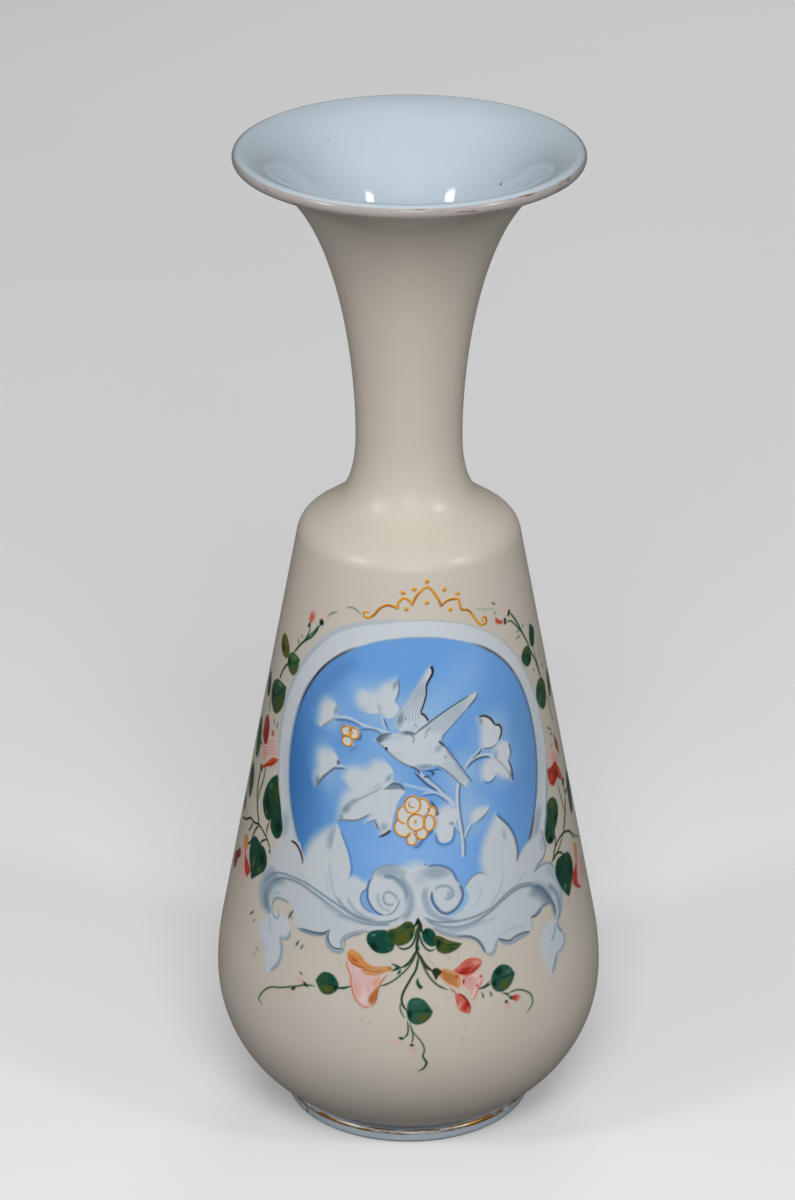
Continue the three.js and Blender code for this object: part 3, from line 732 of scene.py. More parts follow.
PAINTED_GOLD_HIGHLIGHT, SKY, ROSE, BISQUE = (240, 178, 62), (112, 162, 222), (206, 150, 146), (196, 172, 158)
PEACH, PALE_SKY, LIGHT_BLUE, PINK = (220, 168, 146), (142, 184, 235), (144, 188, 230), (222, 186, 182)
MIST, CHALK, WHITE, INSIDE = (186, 202, 216), (197, 204, 210), (200, 208, 214), (208, 210, 209)


def oval(centre, radii, start=0.0, end=360.0, count=72):
    """Places along an ellipse between two angles."""
    a = np.radians(np.linspace(start, end, count + 1))
    return np.stack([centre[0] + radii[0] * np.cos(a), centre[1] + radii[1] * np.sin(a)], 1)


def combed(first, last, count, width, shade, opacity, soft=0.35, fade=0.4, clip=True):
    """Fine brush lines between two curves: each takes its points from both, in even shares."""
    first, last = np.array(first), np.array(last)
    return [line([*(first * (1 - t) + last * t)], width, shade, soft, fade, opacity, clip=clip)
            for t in (np.arange(count) + 0.5) / count]


def dot(at, height, across, up, shade=DARK_GREEN, angle=0.0, core=0.0, opacity=0.8):
    """A soft oval patch of its own."""
    return glow(at, height, across, up, shade, angle, core, opacity, clip=False)


def gold_ring(centre, radii, start=0, end=360, width=0.64):
    """A raised ring or arc of gold, with painted shadow in brown over one stretch and a painted highlight in brighter
    gold over another.
    """
    path, whole = oval(centre, radii, start, end, 28), end - start >= 360
    return [line(path, width, GOLD, 0.16, 0, 1, (0.8, 0.8), thick=0.34, closed=whole, full=True),
            # painted shadow in brown over one stretch, then a painted highlight in brighter gold over another
            line(path[6:15] if whole else path[:9], width * 0.6, GOLD_BROWN, 0.2, 1, 0.7, thick=0),
            line(path[18:23], width * 0.4, PAINTED_GOLD_HIGHLIGHT, 0.2, opacity=0.7, thick=0)]


def leaf(outline, base, spots=(), rib=None, veins=()):
    """A leaf: its wash, soft spots of other greens (place, radii, shade and, if set, angle), a dark
    rib and finer veins (points and shade)."""
    marks = [wash(outline, base, 0.96, (40, 7, 0.05), 0.3)] + [glow(*spot, opacity=0.95) for spot in spots]
    marks += [line(rib, 0.4, DARK_GREEN, 0.4, opacity=0.5, clip=True)] if rib else []
    return marks + [line(vein, 0.3, shade, opacity=0.6, clip=True) for vein, shade in veins]


def stem(points, width=0.7, shade=GREEN, opacity=0.92):
    """A stem: a brush line with sharp ends."""
    return line(points, width, shade, 0.28, 0, opacity)


def dash(s, z, to_s, to_z, width=0.7, shade=GREEN, opacity=0.8):
    """A short dash of the brush, from one place to another."""
    return line([s, z, to_s, to_z], width, shade, fade=0, opacity=opacity, taper=1.2)


def bud(s, z, across, up, angle, shade=PINK, tip=None, opacity=0.75):
    """A bud or a small petal: a turned oval with, if set, a tip (place and shade) of another shade."""
    u = math.radians(angle)
    turned = oval((0, 0), (across, up), count=16) @ np.array([[math.cos(u), math.sin(u)], [-math.sin(u), math.cos(u)]])
    marks = [wash(turned + (s, z), shade, opacity, edge=0.5)]
    return marks + ([glow(*tip[:2], across * 0.7, across * 0.7, tip[2])] if tip else [])


def field():
    """The blue field under its arch, darker towards its edge and paler round the leaves."""
    arch = oval((3, 162), (55.3, 59.3), -46, 226)
    outline = np.concatenate([arch, [(-37, 113), (44, 113)], arch[:1]])
    return [
        wash(outline, SKY, brush=(90, 6, 0.012)), glow(-62, 156, 38, 78, DEEP_SKY, 0, 0.2, 1),
        glow(-48, 206, 38, 26, MID_SKY, 50), glow(66, 165, 32, 72, (104, 148, 200), core=0.15),
        glow(2, 136, 42, 34, PALE_SKY), glow(4, 222, 44, 14, SKY, opacity=0.6),
        glow(22, 206, 16, 22, PALE_SKY, -30, 0, 0.55),
        *[glow(*oval_patch, (164, 193, 222), turn) for *oval_patch, turn in ((2, 188, 29.7, 18, 30),
            (-14, 196, 17, 13.8, 0), (-32, 188, 11.7, 11.7, 0), (-34, 168, 10.6, 13.8, 0), (-16, 162, 23.3, 18, 20),
            (34, 180, 12.7, 13.8, 0), (37, 167, 13.8, 13.8, 0), (22, 150, 18, 13.8, 0), (20, 166, 12.7, 14.8, 0))],
        *[line([s, 216, s + 1, 190, s, 165, s + 1, 140], 1.2, shade, 3.4, 14, 0.12, clip=True)
          for s, shade in ((24, (160, 196, 236)), (30, LIGHT_BLUE), (44, MID_SKY), (-28, MID_SKY),
                           (-42, DEEP_SKY), (12, LIGHT_BLUE))],
        line([-40,188, -30,203, -20,211], 3.5, MID_SKY, 3, opacity=0.35, clip=True),
        line([-48,180, -36,180.5, -28,179], 0.5, MID_SKY, 0.5, 3, 0.35, clip=True),
    ]


def border():
    """The white band round the field, between the field's arch and a wider outline."""
    outer = smooth([-55,133, -56.4,140, -58.2,148, -59.8,157, -60.2,166, -59.3,176, -56,187, -50,198, -40,210.5,
        -30,219.4, -20,224.4, -10,226.9, 0,227.8, 10,227.3, 20,225, 30,220.3, 40,213.3, 50,202, 57,191.5, 62,181,
        65.5,168, 66.2,160, 65,150, 63.3,141, 61,133])
    inner = oval((3, 162), (55.3, 59.3), -30, 210)
    ring = np.concatenate([outer, inner, outer[:1]])
    upper = lambda a, b: oval((3, 162), (55.3, 59.3), a, b, 16)
    return [
        wash(ring, 206, brush=(90, 5, 0.012)), line(upper(172, 215), 6.5, 188, 3.5, clip=True),
        line(upper(155, 200), 2.5, 192, 3, opacity=0.45, clip=True), line(upper(-32, 10), 5.5, 192, 3.5, clip=True),
        line([-53,146, -54.5,134], 3.2, 157, 2, (5, 0), clip=True),
        line([59,146, 57.5,140, 55.5,134], 3, 146, 2, (5, 0), clip=True),
        line(outer[6:-6], 0.4, (160, 164, 166), opacity=0.55), line(outer[6:70], 1.6, 179, (1.2, 0.3)),
        line([66.2,160, 63.3,141, 61.5,134], 1.2, 147, (1.4, 0.3), (6, 0)),
        line(upper(140, 207), 0.9, (70, 108, 158), (0.25, 1.2), (8, 0)),
        line(upper(-30, 40), 0.9, SLATE, (0.9, 0.25), (0, 8)), line(upper(112, 160), 0.8, (74, 72, 74), fade=11),
        line(upper(128, 146), 0.7, BROWN, 0.3, 7, 0.6), line(upper(31, 70), 0.7, (78, 74, 76), fade=12),
        line(upper(76, 112), 0.4, 148, fade=8),
        line([55.6,143, 54,138, 52.6,134.2, 51.4,133], 0.8, (92, 60, 48), fade=(4, 0)),
    ]


def left_scroll():
    """The left scroll: a volute, an upright leaf, a long curled leaf and its pendant."""
    return [
        wash((d := places([0.8,118, -2,111.8, -8,107.4, -15,105.7, -22,104.2, -25.8,101, -25.3,97.1, None, -28,95.7,
            -31,96.3, -32.9,99, -32.4,102.2, None, -36,100.9, -46.6,100.7, None, -48.8,108.4, None, -54,109.4,
            -57.6,108.8, -59.8,106.6, -59.4,101.6, -57.6,100.9, None, -59,99.7, -65.5,103.2, -67.8,107, -68,111.5,
            -63.8,121, -61.3,126, -57,132, -52,134, -46,132.2, -44.5,129.8, -44,126, None, -36,121, -23,122, -14,126,
            -4,130])), CHALK, airy=(135, 2.4)),
        wash([-45,124, -43.3,130.5, -41,135.3, -28.4,146.3, None, -23,132.5, -22.7,129, -23.6,126, None, -26,118,
            -36,116], WHITE, airy=(150, 2.6)),
        glow(-31.5, 140, 2.2, 7, 153, -14),
        line([-29.2,144.5, -30.4,141, -31,137.5, -31.8,134], 0.7, 145, (0.8, 1.2), (0, 3), clip=True),
        wash([-26,121, -23.4,126.3, None, -21,127, -18.4,125.8, -15.7,122.9, -17.6,119, -18,114, -24,112], WHITE,
            airy=(80, 1.6)),
        wash((a := places([1.2,116, 0.6,124, 0.3,131.4, -3,132.6, -11,131.7, -13.7,129, -14.3,126, -15.8,122.4,
            -13,112.6, -6,109, -1,111])), WHITE),
        glow(-8, 130.5, 9, 4.2, 146, core=0.3), glow(-2, 127, 5, 5, 161, core=0.2), glow(-0.6, 122, 2.6, 6.5, 144),
        line(a[3:7], 0.5, 133),
        wash((b := places([-15.5,123.4, None, -18.8,119, -18.3,116.4, -13.6,113, -9,112.8, None, -12.2,114,
            -15.7,119.6])), (132, 172, 218)),
        line(b[:4], 0.45, (96, 126, 160), fade=(0, 2)), wash(oval((-8.9, 119.9), (6.9, 6.9)), WHITE, thick=0.08),
        line([-14.4,127.4, -15.6,124.4, -15.6,118, -11.8,113.4, -9,112.7], 0.75, (66, 104, 156), fade=1.8),
        line([-9,112.7, -6.4,113.9, -3.3,119.6], 0.45, 115),
        line([-9.8,127.9, -8,128.4, -5.6,127.8, 0.4,116.4, -0.8,113.6], 0.9, 105, (0.35, 1.8), (0.5, 5)),
        line([-9.6,119.8, -9.4,121, -8.2,122, -5,120.2, -4.6,118.6], 0.6, 130, (0.9, 0.3)),
        line([-9.8,120.6, -9.7,118.6, -8.6,117.2, -7,116.9, -5.4,117.6], 0.6, 123, (0.9, 0.4)),
        line([-11.8,121.5, -11.6,117.8, -9.8,115.4, -7,114.9], 0.7, 161, 1.1),
        line([-27,143.6, -22.7,132.3, -22.4,128.6, -23.2,126.6], 0.6, MID_SKY, (0.8, 0.3)),
        line([-31.8,131, -26.5,114.5, -23,112.6], 0.5, 165, (0.9, 0.5), 3),
        line([-33,126, -32.5,121, -30.6,117.4], 0.4, 179, 0.8, 1.5),
        line([-24,119, -22.5,115.5, -20,113, -16,111.6], 0.9, 153, (0.5, 1.4), 2),
        line([-29,118.5, -26,114.6, -22,112, -12,110.8], 0.8, 138, (0.9, 0.5), 3),
        line([-47,124, -44,121.4, -40,119.6], 0.5, 179, 0.8),
        line([-64,101.6, -66.4,106, -62.8,115.4, -58,118.2], 4.4, 145, 2.2),
        line([-61,101, -63.6,104.5, -60.8,113.2, -56,116.2, -50,117.3], 2.6, 126, 1.8, (1, 8)),
        line([-62.4,102.6, -64.6,106.5, -63.6,111], 1.4, 116, 1.4, (1, 3)),
        line([-66.3,111, -63,115.3, -59,118.1, -48,119.9, -43,119.6, -30,115.3, -18,110.4, -7,110.6, -2,113], 0.6,
            112, (0.35, 0.7), 3),
        line([-61,113.4, -57,116.6, -45,118.5, -38,116.4, -25,110.9, -20,109.3, -6,109.6], 0.55, 105, (0.4, 1), 3),
        line([-36,115, -30,112, -18,109.4], 1.3, 167, (0.4, 1.6), 4.5),
        line([-30,110.2, -24,110.2, -17,109.3, -10,109.4], 0.7, 148, (0.5, 0.9), 3.5),
        line([-60.4,104, -59.8,106.6, -57.6,108.9, -54,109.5, -49,108.8], 0.7, 122, (0.3, 0.9), (0, 4)),
        line([-60.6,106.5, -58.6,110.4, -54,111.6], 0.7, 163, 1, (1, 3)),
        wash((c := places([-60.6,101.4, -57.5,103.4, -51,102, -49.7,99, -50.4,96.2, -52.6,94.4, -55.4,94.4, None,
            -54.2,91.5, -55.4,84.6, -57.6,81.8, -63.4,77.2, None, -64.6,87, -68.2,91.5, -67.5,96, -64,99])), 202,
            airy=(205, 2.4)),
        glow(-65, 88, 4, 3, 181),
        line([-57,104.2, -56.2,102.4, -57.4,100.9, -59.2,101.4, -60.4,103.4], 0.6, 134, (0.4, 0.8)),
        line(c[3:7], 1, 139, (0.3, 1.2)), line([-55.4,94.6, -54.3,91.5, -55.5,84.6, -60.4,79.4], 1.1, 137, (0.3, 0.9)),
        line([-60.6,100.6, -61.4,97, -60.8,93], 0.7, 175, 1.2, 1.5), line(d[10:13], 1.2, 117),
        line([-31.2,104, -33.6,102.3, -41,101.2, -45,101.2], 0.6, 64, fade=(0.3, 2)), line(d[6:11], 1.2, 138),
        line([-31.6,103.2, -32.3,101, -30.4,97.4, -28.4,97, -26.4,97.3, -25.2,96.9], 0.6, 64),
        line([-25.3,97.1, -26.7,99.4, -25.8,101.6, -22.6,103.8, -13,106], 1.3, (150, 162, 170), ends=(0.7, 0.2),
            taper=6),
        line([-24.9,98, -25.4,100, -21,103.6, -17.4,104.6], 0.45, 115, fade=(0.4, 2)),
        line([-50.4,133.3, -48.8,133.5, -44.3,128.4, -44.2,126.2], 0.9, SOOT, opacity=0.95, ends=(0.7, 0.2)),
        line(d[28:30], 0.4, ROSE, opacity=0.6),
    ]


def right_scroll():
    """The right scroll: a volute, an upright leaf, a long curled leaf and its pendant."""
    return [
        wash((a := places([1,118, 4,111.6, 9,108, 14,105, 19,103.3, 24,102.3, 27.4,100.2, 29.4,97, 30.6,94.7, None,
            33,94, 35.4,99.2, None, 41,95.8, 45,96.6, 48,97.8, 51.6,97.6, None, 52.5,100, 51.7,102.9, None, 54.4,103,
            57.5,104.6, 64,104.6, 66.6,99.4, 65.6,96.9, 63.2,95.6, 66,94.6, 71.8,101, 70.4,111, 65,119.4, 57.5,121.3,
            54,120.2, None, 57,122.1, 60.3,124, 61.8,127, 60.4,131, 59.7,134.4, 56,134.2, 49,131.8, 44.9,126.9, None,
            38,122, 30,121, 22,118, 12,124, 6,132, 0.4,131])), CHALK, airy=(60, 0.8)),
        wash([29.8,125, 28.5,129, 29.4,138.6, 31.6,143, 35,148.4, None, 38.4,145, 41.4,141.6, 45.4,130, 42,120,
            34,116], WHITE, airy=(172, 2.4)),
        glow(38.8, 139.5, 1.5, 4.5, 158, 16),
        wash([24,112, 20,117, 22,122, None, 23.8,125.2, 29.4,126.4, 31,124.6, 34,118, 31,113], WHITE),
        dot(2.6, 132.6, 7.5, 3.8, 201),
        wash([-1.4,110.4, 1.6,109, 4.6,110.6, 5.4,115, 3.6,121, 0.6,122, -1,117], WHITE, edge=0.5),
        wash([17,127.5, None, 20,124, 22.2,121.8, 23.4,118.6, 18.6,112.6, 14,112, 16,118], LIGHT_BLUE, edge=0.7),
        wash([0.2,131.6, 3,132.4, 6.5,132.3, 10,132.4, 16.4,129.8, 18,126.6, 20.2,123.4, 21.1,119.6, 17.6,113.8,
            14.4,112.7, 10.6,111, 4.6,112.5, 1,118], WHITE),
        glow(10.5, 129.6, 8.5, 3.8, 144, core=0.3), glow(4.4, 127.6, 4, 4.6, 180),
        line([17.4,128.6, 19.2,122, 18.6,118.4], 1.2, 185, 1.2, clip=True),
        line([8.7,122.4, 8.8,119, 14.6,113, 17.4,113.9, 21,119.5, 19.3,124.7], 0.85, STEEL, (0.8, 0.3), (0.5, 2)),
        line([19.5,124.4, 18,126.8, 16.9,129.2, 12,132.2, 6.4,132.1], 0.75, SLATE, fade=(0.5, 2)),
        line([8.9,121.6, 9,119, 12.1,114.4], 0.6, DEEP_SKY), line([5.9,133.4, 6.8,132.6], 0.7, (110, 78, 62)),
        line([9.4,121.6, 10.6,123.4, 15.6,123.2, 17,121.4, 16.8,119.7, 15.2,118.8, 13.2,119.3], 0.7, 132, (0.9, 0.5),
            (3, 1)),
        dot(15.6, 120.6, 1.8, 2.2, 136),
        *combed([5.4,125, 5,119, 6.8,113.8, 12,110.6, 20,109], [7.8,126, 7.2,120.4, 8.6,115.8, 12.6,112, 20,110.8], 3,
            0.6, 143, 0.7, 0.7, (4, 6), clip=False),
        line([-4.4,127.4, -1.4,125, -0.4,113.8, -3.6,111], 2, 141, 1.5, (1, 3)),
        line([35.2,148.2, 38.4,145, 41.4,141.7, 45.1,133.6, 45.6,130, 44.9,127.2], 0.7, STEEL, (0.6, 0.3)),
        line([43.2,137.2, 44.7,130, 44,127.4], 0.6, BISQUE, 0.3, 1.2, 0.6),
        line([22.2,122.6, 23.8,125.2, 26.4,126.8, 29.2,126.6, 30.4,125.8], 0.45, 121),
        line([26.4,123.6, 28.4,120.6, 27.6,116.6, 24.6,113.4], 0.5, 178, 0.9),
        line([38.8,126, 35.4,116.4, 32,113], 0.5, 173, 0.9, (3, 1)),
        line([50,122, 46.4,119.6, 42,116.2, 38,113.8], 0.5, 172, 0.9, 1.5),
        line([45.4,128.6, 48.6,131.6, 59.4,134.4], 0.45, 155), line(a[28:34], 1, 126, (1, 0.3), ends=(0.3, 0.8)),
        line([59.6,133, 59.2,129.6, 59.6,126.4], 2, 171, 1.4),
        line([54,120.2, 58,121.3, 62,120.9, 68,116.4], 0.6, 117, (0.3, 0.8)),
        line([60,119.4, 65,116.4, 70.8,105, 69.8,99.4], 2.6, 169, 1.6, (3, 1)),
        line([49.6,114.4, 55,112.8, 63.4,104.6], 4, 126, (2.8, 2.4), (5, 2)),
        line([53,115, 58.4,112, 62.2,107.6, 65.4,103.2, 66.8,98.6], 1.5, 99, (0.6, 1.7), (3, 1)),
        line([61,113.4, 69,104, 69.4,98.6, 67.4,95.6], 1.3, 122, (0.9, 1.4), (4, 1)),
        line([68.4,114.6, 70.4,110, 71.8,105, 71.2,100.6, 69.4,97], 0.7, 146, (0.3, 0.9), 1.5),
        line([5,112.8, 10,110.2, 16,109.6, 33,112.2, 41,116.7, 45,117.6, 55,115.4], 0.6, 112, (0.35, 0.8), 3),
        line([6,111.4, 10,109, 20,107.2, 34,111.6, 38,114, 46,116.5, 55.4,114, 63,106.6, 65.6,102.4, 66.6,98], 0.55,
            103, 0.6, (3, 1)),
        line([12,107.8, 18,106.4, 31,109.4], 1.4, 149, 1.2, 4.5), line([24,106.6, 36,108], 0.5, 171, 1, 3),
        line([9,109.6, 14,105.8, 20,104.2], 0.7, 164, 0.9, (1, 3)),
        line([36.6,99.8, 40,101.6, 46,101.4, 50.4,100.6], 0.6, 178, 1.1, (1, 3)), line(a[2:9], 1.4, (146, 158, 168)),
        line([17,103.6, 25.6,101.8, 30.6,94.8], 0.55, 77, fade=(5, 0.2)), line(a[8:11], 1.3, 143, 0.5),
        line([35.6,99.4, 41.6,96.4, 46,97.2, 51.4,97.6], 1.7, 137),
        line([35.6,99.6, 38.2,98.3, 41,97.4, 44,98.2, 47.4,98.5, 51.4,97.7], 0.6, 68),
        line(a[14:17], 0.8, 172, (0.8, 0.3)), line([51.4,103.4, 54,103.4, 57.2,104.9, 61,105.4, 64,104.7], 1.1, 119),
        line([51.8,103, 55,103, 58.4,104.6], 0.5, 63),
        line([66.6,99.4, 65.4,96.8, 62.8,95.6, 60.2,96.8, 59.2,98.8], 0.9, 151, (0.7, 1.1), (0, 2)),
        wash((b := places([61,98, 57.4,92.4, 57.4,87, 63.3,77, None, 66.6,84.2, None, 69.4,84.4, 71.6,86.2, 72,88.4,
            70.8,90.6, None, 69.2,92.4, 68.2,96, 65,97.4])), 199, airy=(195, 2.4)),
        line([66.8,96.4, 65,92, 63.2,88.8], 1, 151, 1, (0.5, 2)),
        line([67.4,96.6, 68.6,93, 70.8,90.4], 0.9, 121, (0.9, 0.4)), line(b[4:9], 1.1, 148, (0.3, 0.9)),
        line(b[3:5], 1.5, 132, (0.3, 1.1)),
    ]


def upper_vine():
    """The leaves at the upper middle and the far left, and their stalks."""
    return [
        wash((a := places([-4.3,205.5, None, -3.7,201.5, -5.3,196.2, None, -3.9,194.4, -4,192, -9,190, -10.6,191.6,
            None, -12.6,191.3, -15,191, -18,192, -20.2,198, -18.4,199.8, -15,199.4, -12.6,200, -11,202])), WHITE,
            airy=(150, 2.6)),
        glow(-17, 192.8, 4, 2, 184, -20), glow(-5.3, 203, 1.5, 3.4, 126, -20), glow(-11.2, 193.4, 1.2, 3.2, 157, 14),
        line(a[:3], 0.5, SLATE, (0.3, 0.6)), line([-10.4,190.6, -9.8,188.4, -8.3,185.4], 0.9, 200, 0.5),
        line([-9.8,190.2, -7.8,185], 0.55, DARK_BLUE),
        wash([-28.3,187.7, None, -29.2,192.6, -31.6,193.5, -34.4,192.7, -36.2,189.6, -36.6,186, -37.3,182.6,
            -36.2,181.8, None], 202, airy=(150, 2.6)),
        glow(-29, 189.8, 1.4, 3.2, 112, -12),
        line([-29.4,187.2, -32,184.9, -36.2,181.9], 0.5, (142, 148, 154), fade=(0, 1.5)),
        line([-29,187.4, -23,188, -19.6,186.9, -7.6,184.5], 0.9, 205, 0.5, ends=(0.5, 0.7)),
        line([-29.6,186.1, -23,187, -18.6,185.9], 0.5, DARK_BLUE, (0.3, 0.7)),
        line([-19,184, -16.5,184.9, -11.5,184.3, -10.6,183.5], 0.5, DARK_BLUE, (0.3, 0.6)),
    ]


def left_vine_leaf():
    """The leaf under the far left one."""
    return [
        wash((a := places([-26.9,169.4, None, -30.2,173.9, -33,174.5, -36,173.2, -37.4,170, -37,167.4, -38.9,161,
            -38,158.4, None, -36.6,160.4, -31,166.3, -28.6,168.4])), 203, airy=(140, 2.8)),
        glow(-27.8, 170, 1.2, 2.2, 68, -10, 0.2), glow(-37.6, 161, 1.8, 3.2, 103, -20), line(a[7:], 0.55, 79, 0.5),
        line([-37.6,159.8, -35.6,162.4, -33,165], 0.35, (150, 132, 112), opacity=0.6),
        line([-29.6,168.2, -27,168.9, -24.4,168.9], 0.8, 205), line([-29.6,167.1, -27,167.9, -24.2,168], 0.5, 61),
    ]


def broad_vine_leaf():
    """The broad lobed leaf on the left, with one lobe folded over."""
    return [
        wash((a := places([-1,162, None, -3.6,164.2, -6.3,165.6, None, -5.9,168.5, -7.4,171.8, -10.5,173.4,
            -13.4,172.8, -15.4,170.4, -17.6,169.5, -21,169.7, -24,168.5, -26,164.6, None, -22.8,160.6, None,
            -24.8,158.8, -28.2,147.8, None, -25,148.3, -21,148.8, -15.2,152, None, -16.4,148.5, None, -14.5,149.3,
            -13.2,150.2, None, -12.4,148, -11.2,145.9, -10.6,144.4, -6.8,146.6, None, -5.6,153, -4,158])), WHITE,
            airy=(140, 2.6)),
        glow(-7.6, 166.8, 3.2, 1.7, 135, 48), glow(-12, 163.4, 5, 1.2, 175, 30), glow(-24.6, 152.6, 4, 2.2, 112, 48),
        glow(-22, 155.6, 5, 2, 148, 38), glow(-26.8, 149.2, 1.6, 1.6, 109), glow(-9.6, 147.6, 2.4, 3, 146, -30),
        line([-9,163.4, -18,158, -23,155, -26.6,150.6], 0.4, 136, (0.4, 0.8), clip=True),
        line([-7.6,161.4, -6.9,156, -8,151], 0.4, 187, 0.9, 1.5, clip=True),
        wash([-10.6,162.2, None, -6,164.9, -4,164.8, -1.2,161.8, None, -3.2,162.6, -5.6,162.4], 124),
        line([-8.4,163.8, -6,164.8, -3.9,164.6, -1.3,162], 0.55, 75, (0.3, 0.8)),
        line([-11.6,161.4, -6.4,165.3], 0.5, 225), line(a[14:18], 0.45, TAUPE, (0.3, 0.6)), line(a[18:21], 0.5, 107),
        line(a[20:23], 0.55, (104, 84, 76)), line([-11.7,143.3, -8.2,145.3, -6.9,146.5], 0.9, BROWN, ends=(0.2, 0.9)),
        line([-2.4,164.8, 9.6,161.4], 0.8, MIST, 0.5, ends=(0.8, 0.5)),
    ]


def right_vine():
    """The two leaves on the right and their stalks."""
    return [
        wash((a := places([27.4,187.6, None, 29.5,187.6, 34,184.4, 35,182.6, None, 36.7,182.4, 38,180.7, 36.6,176,
            34.2,174.7, 29.2,175.1, None, 28.4,177, 28.7,180, 28.5,183.5, 27.7,185.6])), 205, airy=(185, 2.2)),
        glow(28.4, 185.8, 1.4, 2.6, 100, 24), line(a[:4], 0.75, BROWN, opacity=0.92, ends=(0.5, 0.8)),
        line(a[3:7], 0.75, BROWN, opacity=0.92, ends=(0.9, 0.5)), line(a[6:9], 0.5, (96, 104, 116)),
        line([28.4,175.6, 26.6,173.9, 24.6,172.7, 21.5,168.9], 0.9, 201),
        line([29,175.1, 26,172.5, 25,172], 0.6, (60, 66, 84), ends=(0.5, 1.3)),
        wash((b := places([34,171, None, 34.7,173.8, 37,175.6, 41.7,173.9, 42.4,169, 41.2,167.4, None, 42.3,165.5,
            43.6,159, None, 42.3,160, 40,160.9, 35.4,163.9, None, 34.2,162.4, 29.6,162.5, 28.7,165, 29,168,
            32.5,170.9])), 205, airy=(165, 2.4)),
        glow(35.2, 171.4, 1.6, 2.4, 135), glow(42.6, 161.4, 1.6, 3, 111, 14),
        line([34.4,170.8, 36.6,168.6, 42.8,161], 0.4, 141, 0.45, clip=True),
        line(b[3:6], 0.6, GRAPHITE, ends=(0.9, 0.4)), line(b[5:8], 0.7, (64, 60, 66), ends=(0.5, 1)),
        line([29.2,162.7, 31.6,161.3, 34,161.9, 35.4,163.6], 0.7, MID_SKY, (0.3, 0.7)),
        line([23.6,169.4, 26,172.1, 32.6,171.9, 34.4,170.8], 0.8, 206),
        line([22.6,168.7, 24.6,170.7, 30.6,171.6, 32.9,170.9], 0.55, 50, (0.25, 0.6)),
    ]


def lower_vine():
    """The stalks over the trunk, the trunk, the lowest leaf and the bud."""
    return [
        line([2.4,171, 5.4,167.4, 11.4,162, 17.8,155.2], 1, 202), line([2,169.2, 8,163.4, 10.9,161.5], 0.5, BROWN),
        line([6.4,167.6, 12.2,162.2, 15,158.8], 0.35, SLATE, fade=(0.5, 3)),
        line([4.6,160.6, 10,160.9, 16,156.2, 17.6,154.8], 0.8, MIST),
        line([4.4,159.6, 10,160.1, 12.8,158.4, 15.6,156], 0.5, (74, 108, 158)),
        wash([18.2,148.4, None, 18.8,151, 18,153.8, 15.6,155.4, 12.5,154.8, 9.4,149.6, 9.8,146.8, 11.4,142,
            13.5,140.9, 16,141.7, 17.2,144.1, 16.9,146.4, None], 203, airy=(120, 2.4)),
        glow(16.4, 148.2, 1.6, 1.2, 113, -30),
        line([10,145.2, 12,140.7, 13.8,140.2, 16.4,141.2, 17.4,146.6], 0.9, MID_SKY, (0.3, 0.6)),
        line([17.2,148, 20.9,142.8], 0.8, 195), line([17.2,147.2, 20.7,142.4], 0.4, 108),
        line([19.2,163.8, 18.7,160, 19.5,150, 21.1,137, 20.8,134.2], 1.3, 202, opacity=0.95, ends=(0.9, 0.4)),
        line([19.9,164, 19.5,160.4, 21.5,141.6, 21.9,138, 21.5,134.2], 0.65, SLATE, ends=(0.9, 0.4)),
        line([21.4,141.4, 22.4,144.4, 24.6,147.4], 0.9, 200), line([22.3,141.4, 23.2,144, 25,146.6], 0.4, SLATE),
        wash((a := places([24.6,147.3, None, 24.3,149.8, 25.8,151.9, 32.2,152, None, 31,150, 28,148, 26,147])), 203,
            airy=(140, 1.8)),
        line(a[3:], 0.45, (150, 142, 134)), line([31.6,150.2, 28.4,147.4, 25.6,146.4], 0.5, MID_SKY, opacity=0.6),
    ]


